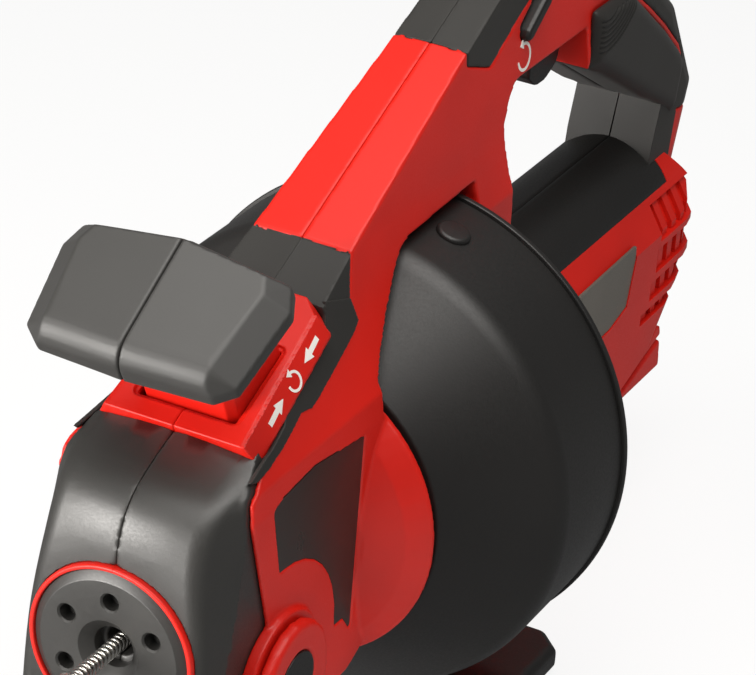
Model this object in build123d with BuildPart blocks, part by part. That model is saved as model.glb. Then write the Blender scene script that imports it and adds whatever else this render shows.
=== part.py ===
import os
from math import cos, hypot, pi, radians, sin, sqrt, tan

from build123d import *

os.makedirs("parts", exist_ok=True)

# Frame: Y runs along the drum axis with the nose at -Y, X is the tool's right side, Z is up.
# Outlines are measured from the drum's rear rim along Y and from the drum axis in height.
axis_height = 118.0
rim_y = 8.15

# Running fits, gaps and walls
fit_gap = 0.05
rim_sides = 32
big_sides = 20
small_sides = 10
seat_gap = 0.1
slide_gap = 0.5
stop_gap = 0.5

# Drum
drum_r = 98.5
drum_len = 56.0
drum_wall = 3.0
shoulder_run = 6.0
mouth_r = 63.0
mouth_y = -91.5
lip_over = 1.5
lip_t = 3.0
lug_r = 7.0
lug_rise = 2.0
lug_y = -27.0
lug_angle = 17.0
hub_r = 18.0
hub_bore_r = 8.0
hub_flange_r = 30.0
hub_end_y = -118.0
hub_gap = 1.5
coil_w = 22.0
coil_depth = 22.0
coil_gap = 0.8

# Spring cable
cable_r = 3.2
wire_r = 0.8
wire_sides = 3
lead_sides = 4
curl_r = 2.4
curl_pitch = 2.8
curls = 9
spring_inset = 2.0
core_r = 1.4
run_bend = 24.0
tip_r = 5.0
tip_len = 11.0

# Nose and snout
nose_y = -221.5
ring_r = 33.4
ring_w = 2.0
ring_proud = 1.6
ring_depth = 6.5
disc_proud = 2.4
disc_bevel = 2.0
outlet_r = 8.0
outlet_sink = 4.0
outlet_sink_depth = 3.2
screw_circle_r = 20.0
screw_count = 6
screw_hole_r = 3.4
screw_head_r = 3.0
screw_shank_r = 1.5
screw_head_t = 2.0
screw_floor = 3.0
screw_len = 9.0
screw_sides = 6
cable_bore_r = 6.0
chamber_front = -177.0
chamber_rear = -121.0
chamber_half = 25.0
chamber_floor = -28.0
chamber_top = 55.0

# Spine, feed plate and insert
spine_angle = 25.0
spine_y = -184.6
spine_z = 71.2
plate_len = 70.0
plate_rise = 2.5
plate_drop = 7.5
plate_edge = 1.5
plate_front_half = 32.0
plate_rear_half = 28.0
plate_corner = 7.0
plate_bevel = 4.4
insert_rear_y = -96.3

# Feed paddle
paddle_angle = 32.2
paddle_y = -205.0
paddle_z = 134.2
paddle_t = 19.0
paddle_bevel = 6.8
paddle_roof = 2.7
paddle_half = 45.2
paddle_front_half = 42.2
paddle_rear = 25.6
paddle_front = 28.7
paddle_sweep = 2.8
paddle_corner = 9.0
stem_front = 10.0
stem_depth = 34.0
stem_half = 19.5
stem_corner = 3.0
stem_shoulder = 12.0
stem_straight = 10.5
stem_top_depth = 18.0
stem_top = 46.0
shank_half = 9.0
shank_front = 14.0
shank_depth = 16.0
recess_w = 1.6
recess_t = 1.2
feed_travel = 9.0
roller_r = 10.0
roller_len = 12.0
roller_skew = 20.0
axle_r = 2.5
roller_gap = 0.4
roller_sides = 16
yoke_gap = 0.5
yoke_t = 2.6

# Body shells
cheek_half = 40.0
cheek_t = 2.0
neck_low_half = 20.0
neck_low_z = 117.0
neck_top_half = 16.0
neck_top_z = 155.0
apex_half = 14.6
handle_half = 20.0
handle_rear = 243.0
handle_corner = 15.0
corner_steps = 4
pad_rise = 3.6
leg_half = 26.0
arch_z = 103.0
hub_cover_r = 63.5
hub_cover_front = -112.0
hub_cover_rear = -94.5
hub_cover_bevel = 7.5
bearing_r = 26.0
bearing_len = 10.0
bearing_y = -99.0
pad_t = 2.4
panel_t = 1.5
panel_sink = 0.5

# Front leg
pivot_y = -171.0
pivot_z = -24.0
lobe_r = 26.5
lobe_far_r = 42.0
lobe_rise = 3.0
boss_r = 24.0
leg_t = 5.2
leg_bevel = 1.5
pin_r = 9.0
pin_head_r = 12.5
pin_head_t = 1.6
pin_in = 28.0
leg_back = 8.0
leg_bar_h = 13.0
leg_bar_d = 18.0
tread_t = 2.0

# Motor end
housing_half = 36.0
housing_top = 48.0
housing_bottom = -38.0
housing_front = 36.0
housing_rear = 228.0
housing_corner = 22.0
motor_r = 24.0
motor_front = 66.0
motor_len = 84.0
shaft_r = 2.5
fan_r = 25.0
fan_len = 8.0
fan_blades = 7
vent_rows = [(28, 12.5, 177), (9.5, -2, 175), (-5.5, -14.5, 171), (-18, -23.5, 163)]
vent_bars = 3
vent_gap = 5.0
vent_pitch = 10.0
vent_step = 1.8
vent_depth = 4.0
fan_rear = 192.0
cover_half = 27.0
cover_t = 3.0
cover_rear = 199.0

# Planetary drive
gear_module = 1.0
sun_teeth = 12
planet_teeth = 18
planet_count = 3
gear_y = 47.0
gear_len = 10.0
gear_backlash = 0.3
ring_wall_r = 31.0
drive_r = 9.0
rear_bearing_r = 16.0
rear_bearing_len = 16.0
rear_bearing_y = 12.0
carrier_t = 4.5
planet_pin_r = 2.5
drive_flange_r = 22.0

# Controls
trigger_half = 9.0
trigger_front = 77.0
trigger_rear = 106.0
trigger_top = 139.0
module_top = 166.0
trigger_travel = 8.0
slider_half = 25.0
slider_w = 24.0
slider_h = 9.0
slider_corner = 2.5
slider_tilt = 35.0
slider_y = 58.0
slider_z = 153.0
slider_travel = 4.0

# Feet and battery shoe
foot_half = 68.0
flange_half = 38.0
foot_front = -30.0
foot_rear = 38.0
foot_t = 10.0
foot_r = 10.0
shoe_half = 34.0
shoe_front = 96.0
shoe_low = -58.0
rail_rear = 188.0
rail_half = 23.0
rail_lip = 5.0
rail_drop = 3.5
rail_t = 3.5
terminal_count = 4
terminal_pitch = 9.0
terminal_t = 1.2
terminal_len = 12.0
terminal_h = 4.0

foot_top = foot_t + tread_t - axis_height
spine_slope = tan(radians(spine_angle))
spine_rear_y = spine_y + plate_len * cos(radians(spine_angle))
lip_r = drum_r + lip_over
drum_axis = Axis((0, rim_y, axis_height), (0, 1, 0))
section_rear = handle_rear + 20
section_len = section_rear - nose_y + 20


def side(x=0.0):
    """Plane seen from the right at a given X: outlines run (Y from the rim, height from the axis)."""
    return Plane(origin=(x, rim_y, axis_height), x_dir=(0, 1, 0), z_dir=(1, 0, 0))


def across(y):
    """Plane square to the drum axis, facing the nose: outlines run (X, height from the axis)."""
    return Plane(origin=(0, rim_y + y, axis_height), x_dir=(1, 0, 0), z_dir=(0, -1, 0))


def on_spine(lift=0.0):
    """Plane along the sloping spine: outlines run (X, distance up the spine from the plate's front)."""
    a = radians(spine_angle)
    place = (0, rim_y + spine_y - lift * sin(a), axis_height + spine_z + lift * cos(a))
    return Plane(origin=place, x_dir=(1, 0, 0), z_dir=(0, -sin(a), cos(a)))


def spine_side(x=0.0):
    """Plane seen from the right: outlines run (distance up the spine, height square to it)."""
    a = radians(spine_angle)
    place = (x, rim_y + spine_y, axis_height + spine_z)
    return Plane(origin=place, x_dir=(0, cos(a), sin(a)), z_dir=(1, 0, 0))


def on_paddle(lift=0.0):
    """Plane along the paddle's top, which is a little steeper than the spine."""
    a = radians(paddle_angle)
    place = (0, rim_y + paddle_y - lift * sin(a), axis_height + paddle_z + lift * cos(a))
    return Plane(origin=place, x_dir=(1, 0, 0), z_dir=(0, -sin(a), cos(a)))


def spine_at(y):
    """Height of the spine line above the drum axis."""
    return spine_z + spine_slope * (y - spine_y)


def outline(plane, points, radius=0.0):
    """A closed outline on a plane, sharp or with rounded corners."""
    with BuildSketch(plane) as drawn:
        with BuildLine():
            FilletPolyline(*points, radius=radius, close=True)
        make_face()
    return drawn.sketch


def sloped(level, rear, half, corner, run, rise):
    """Adds the right half of a plan with a rounded rear corner, swept from its level along a slope."""
    plane = Plane(origin=(0, rim_y, axis_height + level), x_dir=(1, 0, 0), z_dir=(0, 0, 1))
    turns = [radians(90 * i / corner_steps) for i in range(corner_steps + 1)]
    bend = [(half - corner * (1 - cos(t)), rear - corner * (1 - sin(t))) for t in turns]
    plan = outline(plane, [(0, -600), (half, -600)] + bend + [(0, rear)])
    extrude(plan, amount=hypot(run, rise), dir=Vector(0, run, rise).normalized())


def disc(plane, r, centre=(0, 0)):
    """A round face on a plane."""
    with BuildSketch(plane) as drawn:
        with Locations(centre):
            Circle(r)
    return drawn.sketch


def faceted(plane, r, sides, centre=(0, 0), bore=False):
    """A round face with flat sides that stays inside its circle, or as a bore outside it."""
    with BuildSketch(plane) as drawn:
        with Locations(centre):
            RegularPolygon(r, sides, major_radius=not bore)
    return drawn.sketch


def half_section(inset=0.0):
    """The tool's right half seen from the nose: narrow neck on top that flares into the cheek."""
    with BuildSketch(across(section_rear)) as drawn:
        with BuildLine():
            Polyline(
                (cheek_half - inset, 50),
                (cheek_half - inset, -130),
                (0, -130),
                (0, 200),
                (apex_half - inset, 200),
                (apex_half - inset, 175),
                (neck_top_half - inset, neck_top_z),
                (neck_low_half - inset, neck_low_z),
            )
            ThreePointArc(
                (neck_low_half - inset, neck_low_z),
                (neck_low_half + 6.8 - inset, 86),
                (cheek_half - 1.5 - inset, 60),
            )
            Line((cheek_half - 1.5 - inset, 60), (cheek_half - inset, 50))
        make_face()
    return drawn.sketch


def gear_outline(plane, teeth, thin, inner=False, turned=0.0):
    """Straight-flanked outline of a spur gear, or of an internal gear's toothed hole."""
    pitch_r = gear_module * teeth / 2
    tip = gear_module * (1.2 if inner else 0.95)
    root = gear_module * (0.95 if inner else 1.2)
    points = []
    flank = [
        (pitch_r - root, gear_module * 1.16 - thin),
        (pitch_r + tip, gear_module * 0.41 - thin),
    ]
    for i in range(teeth):
        middle = 2 * pi * (i + turned) / teeth
        points += [(r, middle - half / pitch_r) for r, half in flank]
        points += [(r, middle + half / pitch_r) for r, half in reversed(flank)]
    with BuildSketch(plane) as drawn:
        with BuildLine():
            Polyline(*[(r * cos(t), r * sin(t)) for r, t in points], close=True)
        make_face()
    return drawn.sketch


# Blanks: whole outer forms that the pieces below are cut from

plate_outer = [
    (0, 0),
    (plate_front_half, 0),
    (plate_rear_half, plate_len - plate_corner),
    (plate_rear_half - plate_corner, plate_len),
    (0, plate_len),
]
plate_top = [
    (0, 0),
    (plate_front_half - plate_bevel, 0),
    (plate_rear_half - plate_bevel, plate_len - plate_corner),
    (plate_rear_half - plate_corner - plate_bevel, plate_len),
    (0, plate_len),
]
with BuildPart() as plate_blank:
    extrude(outline(on_spine(-plate_drop), plate_outer), amount=plate_edge)
    rim_face = outline(on_spine(plate_edge - plate_drop), plate_outer).face()
    loft([rim_face, outline(on_spine(plate_rise), plate_top).face()], ruled=True)

with BuildPart() as insert_blank:
    extrude(
        outline(
            side(),
            [
                (spine_rear_y, spine_at(spine_rear_y)),
                (insert_rear_y, spine_at(insert_rear_y)),
                (insert_rear_y - 6.7, 88.3),
                (spine_rear_y + 2.5, 86.2),
            ],
        ),
        amount=cheek_half,
    )
    extrude(half_section(), amount=section_len, mode=Mode.INTERSECT)

def skinned(rows):
    """Solid between matching closed rows of points, with flat triangles for its skin."""
    faces = []
    for near, far in zip(rows, rows[1:]):
        for i in range(len(near)):
            j = (i + 1) % len(near)
            for corners in ((near[i], near[j], far[j]), (near[i], far[j], far[i])):
                if len(set(corners)) == 3:
                    faces.append(Face(Wire.make_polygon(corners, close=True)))
    faces += [Face(Wire.make_polygon(row, close=True)) for row in (rows[0], rows[-1])]
    return Solid(Shell(faces))


# Snout skin: its profile at the seam, the line where the front turns into the flank, and the flank at the cheek
snout_seam = [
    (nose_y, -30),
    (nose_y, -10),
    (nose_y, 2.5),
    (nose_y, 14.5),
    (nose_y, 26),
    (nose_y, 34),
    (nose_y + 0.6, 41),
    (nose_y + 2.0, 48.5),
    (nose_y + 4.7, 54.6),
    (nose_y + 10.1, 59.8),
    (nose_y + 17.8, 64.2),
    (nose_y + 27.6, 67.6),
    (spine_y, spine_z),
    (-120, spine_at(-120)),
    (-112, 60),
    (-118, -30),
]
snout_turn = [
    (37.8, nose_y, -30),
    (37.4, nose_y, -10),
    (36.4, nose_y, 2.5),
    (34.3, nose_y, 14.5),
    (32.2, nose_y + 0.7, 26),
    (31.0, nose_y + 2.3, 34),
    (30.3, nose_y + 4.2, 42),
    (30.0, nose_y + 6.7, 50),
    (30.0, nose_y + 10.5, 55.6),
    (30.0, nose_y + 16.9, 60.2),
    (30.3, nose_y + 24.3, 63.5),
    (31.0, nose_y + 30.5, 65.8),
    (32.0, nose_y + 38.0, 68.6),
    (30.0, -120, spine_at(-120) - 3),
    (30.0, -112, 60),
    (37.8, -118, -30),
]
snout_flank = [
    (nose_y + 16.5, -30),
    (nose_y + 18.5, -10),
    (nose_y + 20.0, 2.5),
    (nose_y + 21.5, 14.5),
    (nose_y + 23.0, 27),
    (nose_y + 24.2, 36),
    (nose_y + 25.4, 44),
    (nose_y + 26.2, 50.5),
    (nose_y + 27.5, 55),
    (nose_y + 30.0, 58.5),
    (nose_y + 32.5, 61),
    (nose_y + 34.8, 62.5),
    (spine_y + 0.6, 64),
    (-121, 84),
    (-113, 50),
    (-118, -30),
]
skin_rows = [
    [(0, rim_y + y, axis_height + z) for y, z in snout_seam],
    [(x, rim_y + y, axis_height + z) for x, y, z in snout_turn],
    [(cheek_half, rim_y + y, axis_height + z) for y, z in snout_flank],
]
with BuildPart() as snout_blank:
    add(skinned(skin_rows))
    extrude(half_section(cheek_t), amount=section_len, mode=Mode.INTERSECT)

cheek_points = [
    (insert_rear_y, spine_at(insert_rear_y)),
    (insert_rear_y - 6.7, 88.3),
    (-144, 85),
    (-163, 69.4),
    (spine_y, 64.5),
    (-195, 58),
    (-196, 50),
    (-180, 3),
    (-178, -30),
    (-160, -56),
    (-112, -52),
    (-97.5, -45),
    (-97.5, 64),
    (-58, arch_z - 2),
    (8, arch_z),
    (8, spine_at(8)),
]
with BuildPart() as front_blank:
    with BuildSketch(side()):
        with BuildLine():
            FilletPolyline(*cheek_points, radius=[0, 0, 10, 10, 0, 0, 0, 0, 0, 0, 0, 0, 0, 18, 0, 0], close=True)
        make_face()
        with Locations((pivot_y, pivot_z)):
            Circle(lobe_r)
    extrude(amount=cheek_half + 10)
    extrude(half_section(), amount=section_len, mode=Mode.INTERSECT)

handle_points = [
    (0, spine_at(0)),
    (60, spine_at(60)),
    (112, 184),
    (214, 109),
    (handle_rear - 5, 80),
    (handle_rear, 66),
    (handle_rear - 13, 26),
    (190, 26),
    (193.5, 48),
    (199, 66),
    (176, 77),
    (128, 104.5),
    (112, 112),
    (110, 131),
    (40, 131),
    (31, 114),
    (36, 48),
    (36, 26),
    (4, 26),
    (4, arch_z),
    (0, arch_z),
]
handle_rounds = [0, 30, 30, 30, 20, 14, 0, 0, 0, 0, 20, 20, 0, 0, 12, 10, 0, 0, 0, 0, 0]
with BuildPart() as handle_room:
    sloped(66, handle_rear, handle_half, handle_corner, -20, -61)
    sloped(66, handle_rear, handle_half, handle_corner, -29, 43)
    sloped(109, handle_rear - 29, handle_half, handle_corner, -150, 110)

with BuildPart() as handle_blank:
    extrude(outline(side(), handle_points, handle_rounds), amount=handle_half)
    extrude(half_section(), amount=section_len, mode=Mode.INTERSECT)
    add(handle_room.part, mode=Mode.INTERSECT)

leg_points = [
    (4, 118),
    (31.4, 118),
    (housing_front, 55),
    (housing_front, foot_top),
    (4, foot_top),
]
with BuildPart() as leg_blank:
    extrude(outline(side(), leg_points), amount=leg_half)
    extrude(half_section(), amount=section_len, mode=Mode.INTERSECT)

hub_points = [
    (hub_cover_rear, 0),
    (hub_cover_rear, hub_cover_r),
    (hub_cover_rear - 2.5, hub_cover_r),
    (hub_cover_rear - 2.5 - hub_cover_bevel, hub_cover_r - hub_cover_bevel),
    (hub_cover_front, 42),
    (hub_cover_front, 0),
]


def housing_section(drop=0.0):
    """Right half of the motor housing seen from the nose, with a rounded top that may be lowered."""
    with BuildSketch(across(section_rear)) as drawn:
        with BuildLine():
            ThreePointArc((0, housing_top - drop), (16, housing_top - 5 - drop), (27.5, housing_top - 18 - drop))
            Polyline(
                (27.5, housing_top - 18 - drop),
                (housing_half, housing_top - 32 - drop),
                (housing_half, -70),
                (0, -70),
                (0, housing_top - drop),
            )
        make_face()
    return drawn.sketch


housing_points = [
    (housing_front, -54),
    (housing_front, 60),
    (188, 60),
    (203, 46),
    (218.5, 29),
    (housing_rear - 0.5, 9),
    (housing_rear - 3.5, -5),
    (217.5, -18.5),
    (203, -30),
    (190, -36.5),
    (151, -48.3),
    (140, -52),
]
with BuildPart() as housing_room:
    sloped(-8, housing_rear, housing_half, housing_corner, 0, 90)
    sloped(-8, housing_rear, housing_half, housing_corner, -60, -60)

with BuildPart() as housing_blank:
    extrude(outline(side(), housing_points, [0, 0, 0, 20, 16, 14, 14, 14, 10, 6, 6, 6]), amount=housing_half + 5)
    extrude(housing_section(), amount=section_len, mode=Mode.INTERSECT)
    add(housing_room.part, mode=Mode.INTERSECT)

with BuildPart() as vent_recess:
    for top, bottom, front in vent_rows:
        behind = housing_rear + 5
        row = [(front, bottom), (front, top), (behind, top), (behind, bottom)]
        extrude(outline(side(housing_half - 24), row), amount=30)
    add(housing_blank.part.moved(Location((-vent_step, -vent_step, 0))), mode=Mode.SUBTRACT)

with BuildPart() as vent_slots:
    for top, bottom, front in vent_rows:
        for i in range(vent_bars + 1):
            start = front + i * vent_pitch
            end = start + vent_gap
            slot = [(start, bottom), (start, top), (end, top), (end, bottom)]
            extrude(outline(side(housing_half - 16), slot), amount=22)
    add(housing_blank.part.moved(Location((-vent_depth, 0, 0))), mode=Mode.SUBTRACT)

with BuildPart() as cap_blank:
    cap_points = [
        (-6.2, 200),
        (-6.2, spine_at(-6.2) - 2),
        (19.6, 143.8),
        (56, 160.8),
        (84, 155),
        (110, 160),
        (126, 200),
    ]
    extrude(outline(side(), cap_points, [0, 0, 3, 6, 10, 6, 0]), amount=handle_half + 5)
    add(handle_blank.part, mode=Mode.INTERSECT)

line_points = [
    (118, 158),
    (162.8, 126.5),
    (192.7, 105.2),
    (212.3, 89.2),
    (216.8, 82.9),
    (213.5, 69.6),
    (212.2, 57),
]
line_half = 0.8
pad_top = 137.2
pad_front_points = [
    (205, 62),
    (176, 77.8),
    (128, 105.4),
    (114, 113.5),
    (113, pad_top),
    (145.6, pad_top),
]
under_points = [
    (204.6, 62.3),
    (198, 66.3),
    (190, 62),
    (120, 90),
    (113, 100),
    (113, 125),
    (128, 112),
    (176, 84),
]
with BuildPart() as pad_blank:
    inside = [(y - line_half, z - line_half) for y, z in line_points[1:]]
    extrude(outline(side(handle_half - pad_t), inside + pad_front_points), amount=pad_t + pad_rise)
    chamfer(pad_blank.faces().sort_by(Axis.X)[-1].edges(), pad_rise)

with BuildPart() as under_blank:
    extrude(outline(side(), under_points), amount=handle_half)
    add(handle_blank.part, mode=Mode.INTERSECT)
    add(handle_blank.part.moved(Location((0, pad_t / 2, pad_t * 0.87))), mode=Mode.SUBTRACT)

with BuildPart() as back_blank:
    outside = [(y + line_half, z + line_half) for y, z in line_points]
    extrude(outline(side(), outside + [(260, 50), (260, 130), (130, 200)]), amount=handle_half + 5)
    add(handle_blank.part, mode=Mode.INTERSECT)

stalk_points = [
    (186, 46),
    (204, 46),
    (207, 56),
    (204.2, 61.2),
    (197.5, 65.2),
    (186, 60),
]
with BuildPart() as stalk_blank:
    extrude(outline(side(), stalk_points), amount=handle_half)
    add(handle_blank.part, mode=Mode.INTERSECT)

with BuildPart() as cover_blank:
    extrude(housing_section(), amount=section_len)
    extrude(housing_section(cover_t), amount=section_len, mode=Mode.SUBTRACT)
    cover_area = outline(across(cover_rear), [(0, 0), (cover_half, 0), (cover_half, 90), (0, 90)])
    extrude(cover_area, amount=cover_rear - housing_front - 2, mode=Mode.INTERSECT)
    add(housing_blank.part, mode=Mode.INTERSECT)
    add(handle_blank.part, mode=Mode.SUBTRACT)

panel_points = [
    (-113, 49),
    (-150.4, 53.7),
    (-175, 51.4),
    (-180.8, 49.3),
    (-173.3, 20.3),
    (-171, -24),
    (-119.5, -26),
    (-113, -34),
]
with BuildPart() as panel_blank:
    extrude(outline(side(cheek_half - cheek_t), panel_points), amount=cheek_t + 1)
    lobe_area = faceted(side(cheek_half - cheek_t), lobe_far_r + 2.5, rim_sides, (pivot_y, pivot_z))
    extrude(lobe_area, amount=cheek_t + 1, mode=Mode.SUBTRACT)

plate_panel_points = [
    (60, 19.6),
    (149.8, 21),
    (150.3, 15),
    (145, -6.5),
    (128.8, -10.6),
    (60, -12.5),
]

stem_profile = [
    (stem_front, -stem_shoulder),
    (stem_front + stem_depth, -stem_shoulder),
    (stem_front + stem_depth, stem_straight),
    (stem_front + stem_top_depth, stem_top - 6),
    (stem_front + stem_top_depth, stem_top),
    (stem_front, stem_top),
]
with BuildPart() as stem_blank:
    extrude(outline(spine_side(), stem_profile), amount=stem_half)
    upright = stem_blank.edges().filter_by(Axis((0, 0, 0), on_spine().z_dir))
    chamfer(upright.group_by(Axis.X)[-1].sort_by(Axis.Y)[0], stem_corner)


def stem_slot(lift, gap, corner=0.0):
    """Right half of the slot that the stem slides through."""
    wide = stem_half + gap
    near = stem_front - gap
    far = stem_front + stem_depth + gap
    return outline(on_spine(lift), [(0, near), (wide, near), (wide, far), (0, far)], [0, corner, corner, 0])


# Snout halves, bored for the cable and hollowed for the feed rollers
nose_floor = across(nose_y + ring_depth)
with BuildPart() as snout_right:
    add(snout_blank.part)
    add(plate_blank.part, mode=Mode.SUBTRACT)
    add(insert_blank.part, mode=Mode.SUBTRACT)
    above = [(0, plate_len - 12), (60, plate_len - 12), (60, plate_len + 40), (0, plate_len + 40)]
    extrude(outline(on_spine(-plate_drop), above), amount=20, mode=Mode.SUBTRACT)
    extrude(faceted(nose_floor, ring_r + seat_gap, rim_sides, bore=True), amount=ring_depth + 1, mode=Mode.SUBTRACT)
    pin_bore = faceted(side(pin_in), pin_r + seat_gap, big_sides, (pivot_y, pivot_z), bore=True)
    extrude(pin_bore, amount=cheek_half, mode=Mode.SUBTRACT)
    cable_bore = faceted(across(chamber_rear), cable_bore_r, small_sides)
    extrude(cable_bore, amount=chamber_rear - nose_y, mode=Mode.SUBTRACT)
    chamber = [
        (chamber_front, chamber_floor),
        (chamber_rear, chamber_floor),
        (chamber_rear, chamber_top),
        (chamber_front, chamber_top),
    ]
    extrude(outline(side(), chamber), amount=chamber_half, mode=Mode.SUBTRACT)
    hub_room = faceted(across(bearing_y), hub_r + hub_gap, big_sides, bore=True)
    extrude(hub_room, amount=bearing_y - chamber_rear + 1, mode=Mode.SUBTRACT)
    slot_depth = plate_drop + stem_shoulder + feed_travel + stop_gap
    extrude(stem_slot(plate_drop, slide_gap), amount=-slot_depth, mode=Mode.SUBTRACT)
    narrow = shank_half + slide_gap
    near = shank_front - slide_gap
    far = shank_front + shank_depth + slide_gap
    extrude(
        outline(on_spine(0), [(0, near), (narrow, near), (narrow, far), (0, far)]),
        amount=-stem_shoulder - 40,
        mode=Mode.SUBTRACT,
    )
    with BuildSketch(nose_floor):
        with PolarLocations(screw_circle_r, screw_count, start_angle=90):
            RegularPolygon(screw_shank_r + 2 * seat_gap, screw_sides)
    extrude(amount=-screw_len, mode=Mode.SUBTRACT)
    split(bisect_by=Plane.YZ, keep=Keep.TOP)
snout_right.part.label = "snout_right"
export_step(snout_right.part, "parts/snout_right.step")

with BuildPart() as snout_left:
    mirror(snout_right.part, about=Plane.YZ)
snout_left.part.label = "snout_left"
export_step(snout_left.part, "parts/snout_left.step")

# Nose ring in two halves, bored disc and its screws
with BuildPart() as nose_ring:
    with BuildSketch(nose_floor):
        RegularPolygon(ring_r, rim_sides)
        RegularPolygon(ring_r - ring_w, rim_sides, mode=Mode.SUBTRACT)
        Rectangle(seat_gap, 4 * ring_r, mode=Mode.SUBTRACT)
    extrude(amount=ring_depth + ring_proud)
nose_ring.part.label = "nose_ring"
export_step(nose_ring.part, "parts/nose_ring.step")

nose_front = across(nose_y - disc_proud)
with BuildPart() as nose_disc:
    extrude(faceted(nose_floor, ring_r - ring_w - seat_gap, rim_sides), amount=ring_depth + disc_proud)
    chamfer(nose_disc.faces().sort_by(Axis.Y)[0].edges(), disc_bevel)
    outlet = faceted(nose_front, outlet_r, big_sides)
    extrude(outlet, amount=-ring_depth - disc_proud, mode=Mode.SUBTRACT)
    outlet = faceted(nose_front, outlet_r + outlet_sink, big_sides)
    extrude(outlet, amount=-outlet_sink_depth, mode=Mode.SUBTRACT)
    with BuildSketch(nose_front):
        with PolarLocations(screw_circle_r, screw_count, start_angle=90):
            RegularPolygon(screw_hole_r, small_sides)
    extrude(amount=screw_floor - ring_depth - disc_proud, mode=Mode.SUBTRACT)
    with BuildSketch(nose_front):
        with PolarLocations(screw_circle_r, screw_count, start_angle=90):
            RegularPolygon(screw_shank_r + seat_gap, screw_sides)
    extrude(amount=-ring_depth - disc_proud, mode=Mode.SUBTRACT)
nose_disc.part.label = "nose_disc"
export_step(nose_disc.part, "parts/nose_disc.step")

with BuildPart() as nose_screws:
    with BuildSketch(across(nose_y + ring_depth - screw_floor)):
        with PolarLocations(screw_circle_r, screw_count, start_angle=90):
            RegularPolygon(screw_head_r, screw_sides)
    extrude(amount=screw_head_t)
    with BuildSketch(across(nose_y + ring_depth - screw_floor)):
        with PolarLocations(screw_circle_r, screw_count, start_angle=90):
            RegularPolygon(screw_shank_r, screw_sides)
    extrude(amount=-screw_len)
nose_screws.part.label = "nose_screws"
export_step(nose_screws.part, "parts/nose_screws.step")

# Feed plate and soft insert along the spine
with BuildPart() as feed_plate_right:
    add(plate_blank.part)
    extrude(stem_slot(plate_rise, slide_gap), amount=-plate_rise - plate_drop, mode=Mode.SUBTRACT)
    extrude(stem_slot(plate_rise, slide_gap + recess_w, stem_corner), amount=-recess_t, mode=Mode.SUBTRACT)
feed_plate_right.part.label = "feed_plate_right"
export_step(feed_plate_right.part, "parts/feed_plate_right.step")

with BuildPart() as feed_plate_left:
    mirror(feed_plate_right.part, about=Plane.YZ)
feed_plate_left.part.label = "feed_plate_left"
export_step(feed_plate_left.part, "parts/feed_plate_left.step")

with BuildPart() as spine_insert_right:
    add(insert_blank.part)
    add(plate_blank.part, mode=Mode.SUBTRACT)
spine_insert_right.part.label = "spine_insert_right"
export_step(spine_insert_right.part, "parts/spine_insert_right.step")

with BuildPart() as spine_insert_left:
    mirror(spine_insert_right.part, about=Plane.YZ)
spine_insert_left.part.label = "spine_insert_left"
export_step(spine_insert_left.part, "parts/spine_insert_left.step")

# Feed paddle: two soft-edged halves with a slight roof, on a stem that runs square to the spine
paddle_points = [
    (0, -paddle_front),
    (paddle_front_half - paddle_corner, paddle_sweep - paddle_front),
    (paddle_front_half, paddle_sweep - paddle_front + paddle_corner),
    (paddle_half, paddle_rear - paddle_sweep - paddle_corner),
    (paddle_half - paddle_corner, paddle_rear - paddle_sweep),
    (0, paddle_rear),
]
with BuildPart() as paddle_right:
    extrude(outline(on_paddle(-paddle_t), paddle_points), amount=paddle_t)
    with BuildSketch(Plane(origin=on_paddle().origin, x_dir=(1, 0, 0), z_dir=-on_paddle().y_dir)) as roof_cut:
        with BuildLine():
            Polyline((0, 0), (paddle_half, -paddle_roof), (paddle_half, paddle_roof), (0, paddle_roof), close=True)
        make_face()
    extrude(roof_cut.sketch, amount=paddle_front + paddle_rear, both=True, mode=Mode.SUBTRACT)
    upright = Axis(on_paddle().origin, on_paddle().z_dir)
    for face in (paddle_right.faces().sort_by(upright)[-1], paddle_right.faces().sort_by(upright)[0]):
        chamfer(face.edges().filter_by(lambda e: e.center().X > seat_gap), paddle_bevel)
    add(stem_blank.part, mode=Mode.SUBTRACT)
paddle_right.part.label = "paddle_right"
export_step(paddle_right.part, "parts/paddle_right.step")

with BuildPart() as paddle_left:
    mirror(paddle_right.part, about=Plane.YZ)
paddle_left.part.label = "paddle_left"
export_step(paddle_left.part, "parts/paddle_left.step")

# Pressure roller on the stem and two support rollers, all skewed so that a turning cable is driven along
roller_reach = cable_r + roller_r + roller_gap
drop_y = sin(radians(spine_angle)) * feed_travel
drop_z = cos(radians(spine_angle)) * feed_travel
shank_mid = shank_front + shank_depth / 2
lift_low = (roller_reach - spine_z - shank_mid * sin(radians(spine_angle))) / cos(radians(spine_angle))
feed_y = spine_y + shank_mid * cos(radians(spine_angle)) - lift_low * sin(radians(spine_angle))
roller_turns = (0.0, 120.0, 240.0)


def roller_plane(turn, lifted=False):
    """Plane square to a roller's axle at its middle; the turn goes round the cable from the top."""
    t = radians(turn)
    k = radians(roller_skew)
    outward = Vector(sin(t), 0, cos(t))
    sideways = Vector(cos(t), 0, -sin(t))
    axle = Vector(0, 1, 0) * cos(k) + sideways * sin(k)
    place = Vector(0, rim_y + feed_y, axis_height) + outward * roller_reach
    if lifted:
        place = place + Vector(0, -drop_y, drop_z)
    return Plane(origin=place, x_dir=outward.cross(axle), z_dir=axle)


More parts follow.
